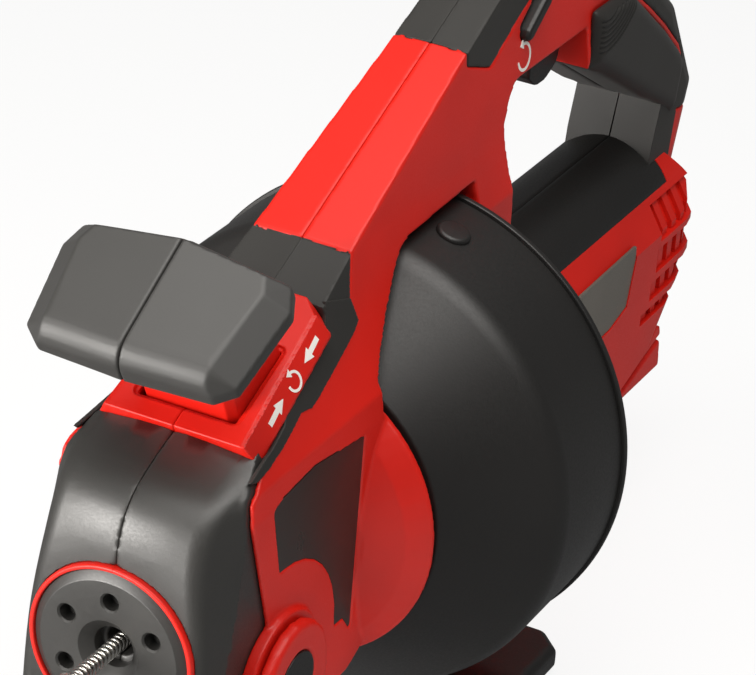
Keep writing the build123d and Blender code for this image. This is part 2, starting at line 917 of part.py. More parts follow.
roller_names = ("pressure_roller", "support_roller_right", "support_roller_left")
for roller_name, turn in zip(roller_names, roller_turns):
    with BuildPart() as roller:
        with BuildSketch(roller_plane(turn, lifted=turn == 0)):
            RegularPolygon(roller_r, roller_sides)
            RegularPolygon(axle_r + fit_gap, small_sides, major_radius=False, mode=Mode.SUBTRACT)
        extrude(amount=roller_len / 2, both=True)
    roller.part.label = roller_name
    export_step(roller.part, "parts/" + roller_name + ".step")

with BuildPart() as feed_stem:
    add(stem_blank.part)
    mirror(about=Plane.YZ)
    shank = [
        (-shank_half, shank_front),
        (shank_half, shank_front),
        (shank_half, shank_front + shank_depth),
        (-shank_half, shank_front + shank_depth),
    ]
    lift_yoke = lift_low + feed_travel + roller_r + 3
    extrude(outline(on_spine(lift_yoke), shank), amount=-stem_shoulder - lift_yoke)
    yoke_in = roller_len / 2 + yoke_gap
    yoke_out = yoke_in + yoke_t
    yoke = roller_plane(0, lifted=True)
    with BuildSketch(yoke):
        with Locations((0, roller_r + 4)):
            Rectangle(2 * shank_half, 6)
    extrude(amount=yoke_out, both=True)
    for end in (yoke_in, -yoke_out):
        with BuildSketch(yoke.offset(end)):
            with Locations((0, (roller_r + 1) / 2 - 2)):
                Rectangle(2 * shank_half - 4, roller_r + 9)
        extrude(amount=yoke_t)
    extrude(faceted(yoke, axle_r, small_sides), amount=2 * yoke_out, both=True, mode=Mode.SUBTRACT)
feed_stem.part.label = "feed_stem"
export_step(feed_stem.part, "parts/feed_stem.step")

with BuildPart() as pressure_axle:
    extrude(faceted(yoke, axle_r, small_sides), amount=yoke_out, both=True)
pressure_axle.part.label = "pressure_axle"
export_step(pressure_axle.part, "parts/pressure_axle.step")

cradle_in = roller_len / 2 * cos(radians(roller_skew)) + roller_r * sin(radians(roller_skew)) + yoke_gap
cradle_out = cradle_in + yoke_t
axle_half = (cradle_out - 0.4) / cos(radians(roller_skew))
with BuildPart() as support_axles:
    for turn in roller_turns[1:]:
        extrude(faceted(roller_plane(turn), axle_r, small_sides), amount=axle_half, both=True)
support_axles.part.label = "support_axles"
export_step(support_axles.part, "parts/support_axles.step")

cradle_top = 2.0
cradle_wall = 21.0
with BuildPart() as roller_cradle:
    walls = [
        (-cradle_wall, chamber_floor),
        (cradle_wall, chamber_floor),
        (cradle_wall, cradle_top),
        (cable_bore_r, cradle_top),
        (cable_bore_r, -cable_bore_r),
        (-cable_bore_r, -cable_bore_r),
        (-cable_bore_r, cradle_top),
        (-cradle_wall, cradle_top),
    ]
    extrude(outline(across(feed_y - cradle_in), walls), amount=yoke_t)
    extrude(outline(across(feed_y + cradle_out), walls), amount=yoke_t)
    base = [
        (feed_y - cradle_out, chamber_floor),
        (feed_y + cradle_out, chamber_floor),
        (feed_y + cradle_out, chamber_floor + yoke_t),
        (feed_y - cradle_out, chamber_floor + yoke_t),
    ]
    extrude(outline(side(-cradle_wall), base), amount=2 * cradle_wall)
    for turn in roller_turns[1:]:
        axle_hole = faceted(roller_plane(turn), axle_r, small_sides)
        extrude(axle_hole, amount=2 * axle_half, both=True, mode=Mode.SUBTRACT)
roller_cradle.part.label = "roller_cradle"
export_step(roller_cradle.part, "parts/roller_cradle.step")

# Body shells: cheek, hub cover, neck, rear leg and D handle in one moulding for each side
trigger_points = [
    (trigger_front, trigger_top),
    (trigger_front, 117),
    (84, 111.5),
    (93, 111),
    (104, 116),
    (trigger_rear, 126),
    (trigger_rear, trigger_top),
]
slider_plane = Plane(origin=(0, rim_y + slider_y, axis_height + slider_z), x_dir=(0, 1, 0), z_dir=(1, 0, 0))


def slider_outline(gap=0.0):
    """The direction slider's bar seen from the side, with cut corners."""
    with BuildSketch(slider_plane) as drawn:
        Rectangle(slider_w + 2 * gap, slider_h + 2 * gap, rotation=slider_tilt)
        chamfer(drawn.vertices(), slider_corner)
    return drawn.sketch


with BuildPart() as body_right:
    add(front_blank.part)
    add(handle_blank.part)
    add(leg_blank.part)
    flange = [(0, foot_top), (flange_half, foot_top), (leg_half, foot_top + 38), (0, foot_top + 38)]
    extrude(outline(across(34), flange), amount=28)
    revolve(outline(side(), hub_points), axis=drum_axis, revolution_arc=180)
    lobe = disc(side(cheek_half - cheek_t), lobe_r, (pivot_y, pivot_z))
    extrude(lobe, amount=cheek_t + lobe_rise)
    add(snout_blank.part, mode=Mode.SUBTRACT)
    add(plate_blank.part, mode=Mode.SUBTRACT)
    add(insert_blank.part, mode=Mode.SUBTRACT)
    add(cap_blank.part, mode=Mode.SUBTRACT)
    add(pad_blank.part, mode=Mode.SUBTRACT)
    add(under_blank.part, mode=Mode.SUBTRACT)
    add(back_blank.part, mode=Mode.SUBTRACT)
    add(panel_blank.part, mode=Mode.SUBTRACT)
    add(stalk_blank.part, mode=Mode.SUBTRACT)
    hub_room = faceted(across(0), hub_r + hub_gap, big_sides, bore=True)
    extrude(hub_room, amount=-chamber_rear, mode=Mode.SUBTRACT)
    bearing_seat = faceted(across(bearing_y), bearing_r + seat_gap, big_sides, bore=True)
    extrude(bearing_seat, amount=bearing_len, mode=Mode.SUBTRACT)
    drive_room = faceted(across(housing_front + 1), drive_r + hub_gap, big_sides, bore=True)
    extrude(drive_room, amount=housing_front + 1, mode=Mode.SUBTRACT)
    bearing_seat = faceted(across(rear_bearing_y + rear_bearing_len), rear_bearing_r + seat_gap, big_sides, bore=True)
    extrude(bearing_seat, amount=rear_bearing_len, mode=Mode.SUBTRACT)
    extrude(pin_bore, amount=cheek_half, mode=Mode.SUBTRACT)
    pocket = [
        (trigger_front - slide_gap, 100),
        (trigger_rear + slide_gap, 100),
        (trigger_rear + slide_gap, trigger_top + trigger_travel + stop_gap),
        (trigger_front - slide_gap, trigger_top + trigger_travel + stop_gap),
    ]
    extrude(outline(side(), pocket), amount=trigger_half + slide_gap, mode=Mode.SUBTRACT)
    module = [
        (trigger_front, trigger_top + trigger_travel + stop_gap),
        (trigger_rear, trigger_top + trigger_travel + stop_gap),
        (trigger_rear, module_top),
        (trigger_front, module_top),
    ]
    extrude(outline(side(), module), amount=trigger_half, mode=Mode.SUBTRACT)
    extrude(slider_outline(slide_gap), amount=cheek_half, mode=Mode.SUBTRACT)
body_right.part.label = "body_right"
export_step(body_right.part, "parts/body_right.step")

with BuildPart() as body_left:
    mirror(body_right.part, about=Plane.YZ)
body_left.part.label = "body_left"
export_step(body_left.part, "parts/body_left.step")

with BuildPart() as cheek_panels:
    extrude(outline(side(cheek_half - cheek_t), panel_points), amount=panel_t)
    extrude(lobe_area, amount=panel_t, mode=Mode.SUBTRACT)
    revolve(outline(side(), hub_points), axis=drum_axis, revolution_arc=180, mode=Mode.SUBTRACT)
    mirror(about=Plane.YZ)
cheek_panels.part.label = "cheek_panels"
export_step(cheek_panels.part, "parts/cheek_panels.step")

# Soft handle covers
with BuildPart() as neck_cap_right:
    add(cap_blank.part)
    extrude(outline(side(), module), amount=trigger_half, mode=Mode.SUBTRACT)
    extrude(slider_outline(slide_gap), amount=cheek_half, mode=Mode.SUBTRACT)
neck_cap_right.part.label = "neck_cap_right"
export_step(neck_cap_right.part, "parts/neck_cap_right.step")

with BuildPart() as neck_cap_left:
    mirror(neck_cap_right.part, about=Plane.YZ)
neck_cap_left.part.label = "neck_cap_left"
export_step(neck_cap_left.part, "parts/neck_cap_left.step")

with BuildPart() as grip_pad_right:
    add(pad_blank.part)
    add(under_blank.part)
grip_pad_right.part.label = "grip_pad_right"
export_step(grip_pad_right.part, "parts/grip_pad_right.step")

with BuildPart() as grip_pad_left:
    mirror(grip_pad_right.part, about=Plane.YZ)
grip_pad_left.part.label = "grip_pad_left"
export_step(grip_pad_left.part, "parts/grip_pad_left.step")

with BuildPart() as back_pad:
    add(back_blank.part)
    mirror(about=Plane.YZ)
back_pad.part.label = "back_pad"
export_step(back_pad.part, "parts/back_pad.step")

with BuildPart() as stalk_cover:
    add(stalk_blank.part)
    mirror(about=Plane.YZ)
stalk_cover.part.label = "stalk_cover"
export_step(stalk_cover.part, "parts/stalk_cover.step")

# Trigger, direction slider and the switch behind them
with BuildPart() as trigger:
    extrude(outline(side(), trigger_points, [0, 0, 8, 14, 6, 0, 0]), amount=trigger_half, both=True)
trigger.part.label = "trigger"
export_step(trigger.part, "parts/trigger.step")

with BuildPart() as direction_slider:
    extrude(slider_outline(), amount=slider_half, both=True)
    ends = direction_slider.faces().filter_by(Axis.X)
    chamfer(ends.edges(), 1.5)
direction_slider.part.label = "direction_slider"
export_step(direction_slider.part, "parts/direction_slider.step")

with BuildPart() as switch_module:
    extrude(outline(side(), module), amount=trigger_half, both=True)
    extrude(slider_outline(slide_gap), amount=cheek_half, both=True, mode=Mode.SUBTRACT)
switch_module.part.label = "switch_module"
export_step(switch_module.part, "parts/switch_module.step")

# Motor housing halves with vents, black top covers, side plates and the battery shoe
with BuildPart() as housing_right:
    add(housing_blank.part)
    add(cover_blank.part, mode=Mode.SUBTRACT)
    add(handle_blank.part, mode=Mode.SUBTRACT)
    ring_room = faceted(across(motor_front), ring_wall_r + seat_gap, big_sides, bore=True)
    extrude(ring_room, amount=motor_front - housing_front - 2.5, mode=Mode.SUBTRACT)
    motor_room = faceted(across(motor_front + motor_len), motor_r + seat_gap, big_sides, bore=True)
    extrude(motor_room, amount=motor_len, mode=Mode.SUBTRACT)
    fan_room = faceted(across(fan_rear), fan_r + 2, big_sides, bore=True)
    extrude(fan_room, amount=fan_rear - motor_front - motor_len, mode=Mode.SUBTRACT)
    drive_room = faceted(across(motor_front), drive_r + hub_gap, big_sides, bore=True)
    extrude(drive_room, amount=motor_front - housing_front, mode=Mode.SUBTRACT)
    extrude(outline(side(housing_half - panel_t - panel_sink), plate_panel_points), amount=10, mode=Mode.SUBTRACT)
    add(vent_recess.part, mode=Mode.SUBTRACT)
    add(vent_slots.part, mode=Mode.SUBTRACT)
    split(bisect_by=Plane.YZ, keep=Keep.TOP)
housing_right.part.label = "housing_right"
export_step(housing_right.part, "parts/housing_right.step")

with BuildPart() as housing_left:
    mirror(housing_right.part, about=Plane.YZ)
housing_left.part.label = "housing_left"
export_step(housing_left.part, "parts/housing_left.step")

with BuildPart() as top_cover_right:
    add(cover_blank.part)
top_cover_right.part.label = "top_cover_right"
export_step(top_cover_right.part, "parts/top_cover_right.step")

with BuildPart() as top_cover_left:
    mirror(top_cover_right.part, about=Plane.YZ)
top_cover_left.part.label = "top_cover_left"
export_step(top_cover_left.part, "parts/top_cover_left.step")

with BuildPart() as side_plates:
    extrude(outline(side(housing_half - panel_t - panel_sink), plate_panel_points), amount=panel_t)
    mirror(about=Plane.YZ)
side_plates.part.label = "side_plates"
export_step(side_plates.part, "parts/side_plates.step")

shoe_points = [
    (shoe_front, -53.5),
    (140, -52),
    (151, -48.3),
    (188, -35.5),
    (195, -37),
    (198, shoe_low),
    (shoe_front, shoe_low),
]
shoe_groove = [
    (200, -40.5),
    (200, -43),
    (136, -59.3),
    (136, -56.8),
]
with BuildPart() as battery_shoe:
    extrude(outline(side(-shoe_half), shoe_points), amount=2 * shoe_half)
    extrude(outline(side(shoe_half - 3), shoe_groove), amount=5, mode=Mode.SUBTRACT)
    extrude(outline(side(-shoe_half - 2), shoe_groove), amount=5, mode=Mode.SUBTRACT)
    rail_low = shoe_low - rail_drop - rail_t
    rail = [
        (-rail_half + rail_lip, shoe_low),
        (-rail_half + rail_lip, shoe_low - rail_drop),
        (-rail_half, shoe_low - rail_drop),
        (-rail_half, rail_low),
        (rail_half, rail_low),
        (rail_half, shoe_low - rail_drop),
        (rail_half - rail_lip, shoe_low - rail_drop),
        (rail_half - rail_lip, shoe_low),
    ]
    extrude(outline(across(rail_rear), rail), amount=rail_rear - shoe_front)
    add(housing_right.part, mode=Mode.SUBTRACT)
    add(housing_left.part, mode=Mode.SUBTRACT)
battery_shoe.part.label = "battery_shoe"
export_step(battery_shoe.part, "parts/battery_shoe.step")

with BuildPart() as battery_terminals:
    with BuildSketch(Plane(origin=(0, rim_y + shoe_front + 16, axis_height + rail_low), z_dir=(0, 0, -1))):
        with GridLocations(terminal_pitch, 1, terminal_count, 1):
            Rectangle(terminal_t, terminal_len)
    extrude(amount=terminal_h)
battery_terminals.part.label = "battery_terminals"
export_step(battery_terminals.part, "parts/battery_terminals.step")

# Motor, fan and planetary drive
motor_rear = motor_front + motor_len
with BuildPart() as motor_can:
    extrude(faceted(across(motor_rear), motor_r, big_sides), amount=motor_len)
    shaft_bore = faceted(across(motor_rear), shaft_r + fit_gap, small_sides, bore=True)
    extrude(shaft_bore, amount=motor_len, mode=Mode.SUBTRACT)
motor_can.part.label = "motor_can"
export_step(motor_can.part, "parts/motor_can.step")

with BuildPart() as motor_shaft:
    extrude(faceted(across(motor_rear + 14), shaft_r, small_sides), amount=motor_rear + 14 - gear_y)
    extrude(gear_outline(across(gear_y + gear_len), sun_teeth, gear_backlash / 4), amount=gear_len)
motor_shaft.part.label = "motor_shaft"
export_step(motor_shaft.part, "parts/motor_shaft.step")

with BuildPart() as cooling_fan:
    fan_plane = across(motor_rear + 4 + fan_len)
    extrude(faceted(fan_plane, 2 * shaft_r, small_sides), amount=fan_len)
    with BuildSketch(fan_plane):
        with PolarLocations(fan_r / 2, fan_blades):
            Rectangle(fan_r, 1.6)
    extrude(amount=fan_len)
    extrude(faceted(fan_plane, fan_r, big_sides), amount=1.6)
    extrude(faceted(fan_plane, shaft_r, small_sides), amount=fan_len, mode=Mode.SUBTRACT)
cooling_fan.part.label = "cooling_fan"
export_step(cooling_fan.part, "parts/cooling_fan.step")

ring_teeth = sun_teeth + 2 * planet_teeth
planet_reach = gear_module * (sun_teeth + planet_teeth) / 2
planet_turns = [90 + 360 * i / planet_count for i in range(planet_count)]
for i, turn in enumerate(planet_turns):
    spot = (planet_reach * cos(radians(turn)), planet_reach * sin(radians(turn)))
    plane = across(gear_y + gear_len)
    plane = Plane(origin=plane.from_local_coords(Vector(*spot)), x_dir=plane.x_dir, z_dir=plane.z_dir)
    with BuildPart() as planet:
        extrude(gear_outline(plane, planet_teeth, gear_backlash / 4), amount=gear_len)
        pin_hole = faceted(plane, planet_pin_r + fit_gap, small_sides, bore=True)
        extrude(pin_hole, amount=gear_len, mode=Mode.SUBTRACT)
    planet.part.label = "planet_gear_" + str(i + 1)
    export_step(planet.part, "parts/" + planet.part.label + ".step")

with BuildPart() as ring_gear:
    extrude(faceted(across(gear_y + gear_len), ring_wall_r, big_sides), amount=gear_len)
    hole = gear_outline(across(gear_y + gear_len), ring_teeth, -gear_backlash / 4, inner=True, turned=0.5)
    extrude(hole, amount=gear_len, mode=Mode.SUBTRACT)
ring_gear.part.label = "ring_gear"
export_step(ring_gear.part, "parts/ring_gear.step")

carrier_y = gear_y - 1.5
with BuildPart() as planet_carrier:
    extrude(faceted(across(3), drive_flange_r, big_sides), amount=3)
    extrude(faceted(across(carrier_y), drive_r, big_sides), amount=carrier_y)
    extrude(faceted(across(carrier_y), planet_reach + 5, big_sides), amount=carrier_t)
    with BuildSketch(across(gear_y + gear_len)):
        with PolarLocations(planet_reach, planet_count, start_angle=90):
            RegularPolygon(planet_pin_r, small_sides)
    extrude(amount=gear_len + 2)
planet_carrier.part.label = "planet_carrier"
export_step(planet_carrier.part, "parts/planet_carrier.step")

with BuildPart() as rear_bearing:
    with BuildSketch(across(rear_bearing_y + rear_bearing_len)):
        RegularPolygon(rear_bearing_r, big_sides)
        RegularPolygon(drive_r + fit_gap, big_sides, major_radius=False, mode=Mode.SUBTRACT)
    extrude(amount=rear_bearing_len)
rear_bearing.part.label = "rear_bearing"
export_step(rear_bearing.part, "parts/rear_bearing.step")

with BuildPart() as front_bearing:
    with BuildSketch(across(bearing_y)):
        RegularPolygon(bearing_r, big_sides)
        RegularPolygon(hub_r + fit_gap, big_sides, major_radius=False, mode=Mode.SUBTRACT)
    extrude(amount=bearing_len)
front_bearing.part.label = "front_bearing"
export_step(front_bearing.part, "parts/front_bearing.step")

# Drum: front shell with lugs, rear cover, hub tube and the cable stored inside
corner = Vector(-drum_len, drum_r)
mouth = Vector(mouth_y, mouth_r)
front_run = (mouth - corner).normalized()
shoulder_rear = corner + Vector(shoulder_run, 0)
shoulder_front = corner + front_run * shoulder_run
shoulder_mid = corner * 0.5 + (shoulder_rear + shoulder_front) * 0.25
inner_corner = Vector(-drum_len + drum_wall / 2, drum_r - drum_wall)
inner_mouth = Vector(mouth_y + drum_wall, mouth_r - drum_wall / 2)
shell_points = [
    (-lip_t, drum_r),
    (shoulder_rear.X, shoulder_rear.Y),
    (shoulder_mid.X, shoulder_mid.Y),
    (shoulder_front.X, shoulder_front.Y),
    (mouth.X, mouth.Y),
    (mouth_y, hub_r + seat_gap),
    (mouth_y + drum_wall, hub_r + seat_gap),
    (inner_mouth.X, inner_mouth.Y),
    (inner_corner.X, inner_corner.Y),
    (-lip_t, drum_r - drum_wall),
]
with BuildPart() as drum_shell:
    revolve(outline(side(), shell_points), axis=drum_axis)
    for i in range(3):
        turn = radians(lug_angle + 120 * i)
        outward = Vector(sin(turn), 0, cos(turn))
        foot = Vector(0, rim_y + lug_y, axis_height) + outward * (drum_r - drum_wall - 0.5)
        lug_plane = Plane(origin=foot, x_dir=(0, 1, 0), z_dir=outward)
        with BuildSketch(lug_plane):
            RegularPolygon(lug_r, small_sides)
        extrude(amount=drum_wall + 0.5 + lug_rise)
drum_shell.part.label = "drum_shell"
export_step(drum_shell.part, "parts/drum_shell.step")

with BuildPart() as drum_cover:
    cover_points = [
        (0, 0),
        (0, lip_r),
        (-lip_t, lip_r),
        (-lip_t, 0),
    ]
    revolve(outline(side(), cover_points), axis=drum_axis)
drum_cover.part.label = "drum_cover"
export_step(drum_cover.part, "parts/drum_cover.step")

with BuildPart() as drum_hub:
    hub_plane = across(mouth_y + 2 * drum_wall)
    hub_len = mouth_y + 2 * drum_wall - hub_end_y
    extrude(faceted(hub_plane, hub_flange_r, big_sides), amount=drum_wall)
    extrude(faceted(hub_plane, hub_r, big_sides), amount=hub_len)
    extrude(faceted(hub_plane, hub_bore_r, small_sides, bore=True), amount=hub_len, mode=Mode.SUBTRACT)
drum_hub.part.label = "drum_hub"
export_step(drum_hub.part, "parts/drum_hub.step")

coil_r = drum_r - drum_wall - coil_gap
coil_y = -lip_t - 4 * seat_gap - coil_w
with BuildPart() as cable_coil:
    with BuildSketch(across(coil_y + coil_w)):
        RegularPolygon(coil_r, rim_sides)
        RegularPolygon(coil_r - coil_depth, rim_sides, major_radius=False, mode=Mode.SUBTRACT)
    extrude(amount=coil_w)
cable_coil.part.label = "cable_coil"
export_step(cable_coil.part, "parts/cable_coil.step")

# Cable: a lead inside the drum, then the spring cable out through the nose to its tip
lead_y = coil_y + coil_w / 2
lead_end = mouth_y + drum_wall
lead_r = coil_r - coil_depth - 3 * seat_gap
with BuildPart() as cable_lead:
    with BuildLine(side()):
        FilletPolyline((lead_y, lead_r), (lead_y, 0), (lead_end, 0), radius=run_bend)
    with BuildSketch(Plane(origin=(0, rim_y + lead_y, axis_height + lead_r), z_dir=(0, 0, -1))):
        RegularPolygon(cable_r, lead_sides, rotation=180 / lead_sides)
    sweep()
cable_lead.part.label = "cable_lead"
export_step(cable_lead.part, "parts/cable_lead.step")


def biarc(p0, t0, p1, t1):
    """Two tangent arcs that join a point and direction to the next point and direction."""
    v = p1 - p0
    t = t0 + t1
    c = 2 * (1 - t0.dot(t1))
    d = (-v.dot(t) + sqrt(v.dot(t) ** 2 + c * v.dot(v))) / c
    q0 = p0 + t0 * d
    q1 = p1 - t1 * d
    joint = (q0 + q1) * 0.5
    return [TangentArc(p0, joint, tangent=t0), TangentArc(joint, p1, tangent=q1 - q0)]


spring_y = nose_y + spring_inset
spring_start = Vector(0, rim_y + spring_y, axis_height)
rise = curl_pitch / (2 * pi * curl_r)
spring_points = []
spring_tangents = []
for i in range(4 * curls + 1):
    turn = pi / 2 * i
    spring_points.append(spring_start + Vector(curl_r * cos(turn), -curl_pitch * i / 4, curl_r * sin(turn)))
    spring_tangents.append(Vector(-sin(turn), -rise, cos(turn)).normalized())
with BuildPart() as spring:
    with BuildLine() as wound:
        Line(spring_points[0] - spring_tangents[0] * 2 * wire_r, spring_points[0])
        for i in range(4 * curls):
            biarc(spring_points[i], spring_tangents[i], spring_points[i + 1], spring_tangents[i + 1])
        Line(spring_points[-1], spring_points[-1] + spring_tangents[-1] * 2 * wire_r)
    with BuildSketch(Plane(origin=wound.wires()[0] @ 0, z_dir=spring_tangents[0])):
        RegularPolygon(wire_r, wire_sides, rotation=180 / wire_sides)
    sweep(clean=False)
centre_line = wound.wires()[0]
samples = 48 * curls
sampled = [centre_line @ (k / samples) for k in range(samples + 1)]
pairs = [(j, j + k) for j in range(0, samples - 60, 5) for k in range(24, 60)]
least = min((sampled[j] - sampled[k]).length for j, k in pairs)
print("spring cable: least gap between curls", round(least - 2 * wire_r, 2), "mm")

spring_end = spring_y - curl_pitch * curls
with BuildPart() as cable_core:
    with BuildSketch(across(lead_end)):
        RegularPolygon(cable_r, small_sides)
    extrude(amount=lead_end - spring_y - curl_pitch)
    with BuildSketch(across(spring_y + curl_pitch)):
        RegularPolygon(core_r, small_sides)
    extrude(amount=curl_pitch * (curls + 2))
spring_cable = Compound(label="spring_cable", children=[cable_core.part, spring.part])
export_step(spring_cable, "parts/spring_cable.step")

with BuildPart() as cable_tip:
    with BuildSketch(across(spring_end - curl_pitch)):
        RegularPolygon(tip_r, small_sides)
    extrude(amount=tip_len)
    chamfer(cable_tip.faces().filter_by(Axis.Y).edges(), tip_r * 0.3)
cable_tip.part.label = "cable_tip"
export_step(cable_tip.part, "parts/cable_tip.step")

# Front leg: a yoke that swings on two pins and ends in a soft tread
leg_in = cheek_half + lobe_rise + slide_gap
leg_out = leg_in + leg_t
leg_y = pivot_y + leg_back
leg_low = tread_t - axis_height
with BuildPart() as front_leg:
    with BuildSketch(side(leg_in)):
        with BuildLine():
            Polyline(
                (pivot_y - 13, pivot_z),
                (pivot_y + 13, pivot_z),
                (leg_y + leg_bar_d / 2, leg_low),
                (leg_y - leg_bar_d / 2, leg_low),
                close=True,
            )
        make_face()
        with Locations((pivot_y, pivot_z)):
            RegularPolygon(boss_r, big_sides)
    extrude(amount=leg_t)
    rim = front_leg.faces().sort_by(Axis.X)[-1].edges()
    chamfer(rim.filter_by(lambda e: e.center().Z > axis_height + pivot_z), leg_bevel)
    mirror(about=Plane.YZ)
    bar = [
        (leg_y - leg_bar_d / 2, leg_low),
        (leg_y + leg_bar_d / 2, leg_low),
        (leg_y + leg_bar_d / 2, leg_low + leg_bar_h),
        (leg_y - leg_bar_d / 2, leg_low + leg_bar_h),
    ]
    extrude(outline(side(), bar, [0, 0, 4, 4]), amount=leg_in, both=True)
    pin_hole = faceted(side(), pin_r + fit_gap, big_sides, (pivot_y, pivot_z), bore=True)
    extrude(pin_hole, amount=leg_out, both=True, mode=Mode.SUBTRACT)
    for end in (leg_out - pin_head_t - stop_gap, -leg_out):
        sink = faceted(side(end), pin_head_r + slide_gap, big_sides, (pivot_y, pivot_z), bore=True)
        extrude(sink, amount=pin_head_t + stop_gap, mode=Mode.SUBTRACT)
front_leg.part.label = "front_leg"
export_step(front_leg.part, "parts/front_leg.step")

with BuildPart() as pivot_pins:
    pin = faceted(side(pin_in), pin_r, big_sides, (pivot_y, pivot_z))
    extrude(pin, amount=leg_out - pin_head_t - pin_in)
    head = faceted(side(leg_out - pin_head_t), pin_head_r, big_sides, (pivot_y, pivot_z))
    extrude(head, amount=pin_head_t)
    mirror(about=Plane.YZ)
pivot_pins.part.label = "pivot_pins"
export_step(pivot_pins.part, "parts/pivot_pins.step")

with BuildPart() as leg_tread:
    tread = [
        (leg_y - leg_bar_d / 2 + 1, -axis_height),
        (leg_y + leg_bar_d / 2 - 1, -axis_height),
        (leg_y + leg_bar_d / 2 - 1, leg_low),
        (leg_y - leg_bar_d / 2 + 1, leg_low),
    ]
    extrude(outline(side(), tread), amount=leg_out - 1, both=True)
leg_tread.part.label = "leg_tread"
export_step(leg_tread.part, "parts/leg_tread.step")

# Rear foot and its treads
with BuildPart() as rear_foot:
    with BuildSketch(Plane.XY.offset(tread_t)):
        with Locations((0, rim_y + (foot_front + foot_rear) / 2)):
            Rectangle(2 * foot_half, foot_rear - foot_front)
    extrude(amount=foot_t)
    chamfer(rear_foot.edges().filter_by(Axis.Z), foot_r)
    chamfer(rear_foot.faces().sort_by(Axis.Z)[-1].edges(), 2.5)
rear_foot.part.label = "rear_foot"
export_step(rear_foot.part, "parts/rear_foot.step")

with BuildPart() as foot_treads:
    with BuildSketch(Plane.XY):
        with Locations((0, rim_y + (foot_front + foot_rear) / 2)):
            with GridLocations(2 * foot_half - 34, foot_rear - foot_front - 24, 2, 2):
                RegularPolygon(8, small_sides)
    extrude(amount=tread_t)
foot_treads.part.label = "foot_treads"
export_step(foot_treads.part, "parts/foot_treads.step")
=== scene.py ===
from math import cos, exp, hypot, pi, radians, sin, tan

import bmesh
import bpy
from bpy.props import FloatProperty, IntProperty, PointerProperty, StringProperty
from mathutils import Matrix, Vector
from mathutils.bvhtree import BVHTree


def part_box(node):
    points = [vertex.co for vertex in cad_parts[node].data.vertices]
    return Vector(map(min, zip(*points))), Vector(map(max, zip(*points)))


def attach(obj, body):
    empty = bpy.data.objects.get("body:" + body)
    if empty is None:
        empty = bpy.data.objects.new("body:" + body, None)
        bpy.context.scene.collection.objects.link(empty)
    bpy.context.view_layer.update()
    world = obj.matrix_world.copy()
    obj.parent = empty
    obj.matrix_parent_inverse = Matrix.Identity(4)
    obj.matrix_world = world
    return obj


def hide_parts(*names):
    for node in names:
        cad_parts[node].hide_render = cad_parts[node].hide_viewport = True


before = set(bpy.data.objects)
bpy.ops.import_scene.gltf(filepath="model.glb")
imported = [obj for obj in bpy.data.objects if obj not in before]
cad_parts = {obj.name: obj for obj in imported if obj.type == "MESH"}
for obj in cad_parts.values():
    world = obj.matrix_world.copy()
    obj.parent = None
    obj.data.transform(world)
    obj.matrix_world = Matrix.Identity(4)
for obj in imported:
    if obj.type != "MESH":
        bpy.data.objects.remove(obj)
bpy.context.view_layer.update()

bl_info = {
    "name": "Cordless drain cleaner",
    "version": (1, 0, 0),
    "blender": (4, 5, 0),
    "location": "View3D > Sidebar > Drain cleaner",
    "description": "Dresses the packed drain cleaner with rounded mouldings, finishes, light and camera",
    "category": "Object",
}

MM = 0.001
cover_low, cover_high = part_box("drum_cover")
rim_y = cover_high.y
axis_z = (cover_low.z + cover_high.z) / 2
RIGHT = Vector((1, 0, 0))
FORWARD = Vector((0, -1, 0))
BACKWARD = Vector((0, 1, 0))
UP = Vector((0, 0, 1))
ORIGIN = Vector((0, 0, 0))


def at(x, y, z):
    """Point from mm, counted from the drum's rear rim along Y and from the drum axis in height."""
    return Vector((x * MM, rim_y + y * MM, axis_z + z * MM))


def round_size(node):
    """Middle of the rear, length in mm and radius in mm of a CAD node that is round about the drum axis."""
    low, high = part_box(node)
    return Vector((0, high.y, axis_z)), (high.y - low.y) / MM, (high.x - low.x) / 2 / MM


# Sizes and colours


class DrumSettings(bpy.types.PropertyGroup):
    radius: FloatProperty(
        name="Radius", description="Outside of the drum's wall", default=98.5 * MM, unit="LENGTH"
    )
    shoulder: FloatProperty(
        name="Shoulder", description="Rounding between the drum's wall and its cone",
        default=14 * MM, unit="LENGTH",
    )
    sides: IntProperty(name="Sides", description="Steps round the drum", default=160, min=32)


class CableSettings(bpy.types.PropertyGroup):
    radius: FloatProperty(
        name="Radius", description="Outside of the wound cable", default=3.2 * MM, unit="LENGTH"
    )
    wire: FloatProperty(
        name="Wire radius", description="Half the thickness of the spring wire",
        default=0.95 * MM, unit="LENGTH",
    )
    pitch: FloatProperty(
        name="Pitch", description="Distance from one curl to the next", default=2.45 * MM, unit="LENGTH"
    )


class PaddleSettings(bpy.types.PropertyGroup):
    tilt: FloatProperty(
        name="Tilt", description="Slope of the paddle's top towards the nose",
        default=radians(32.2), subtype="ANGLE",
    )
    roof: FloatProperty(
        name="Roof", description="Fall of the paddle's top from its seam to its ends",
        default=radians(3.4), subtype="ANGLE",
    )
    roll: FloatProperty(
        name="Roll", description="Rounding along the paddle's front edge", default=9.5 * MM, unit="LENGTH"
    )


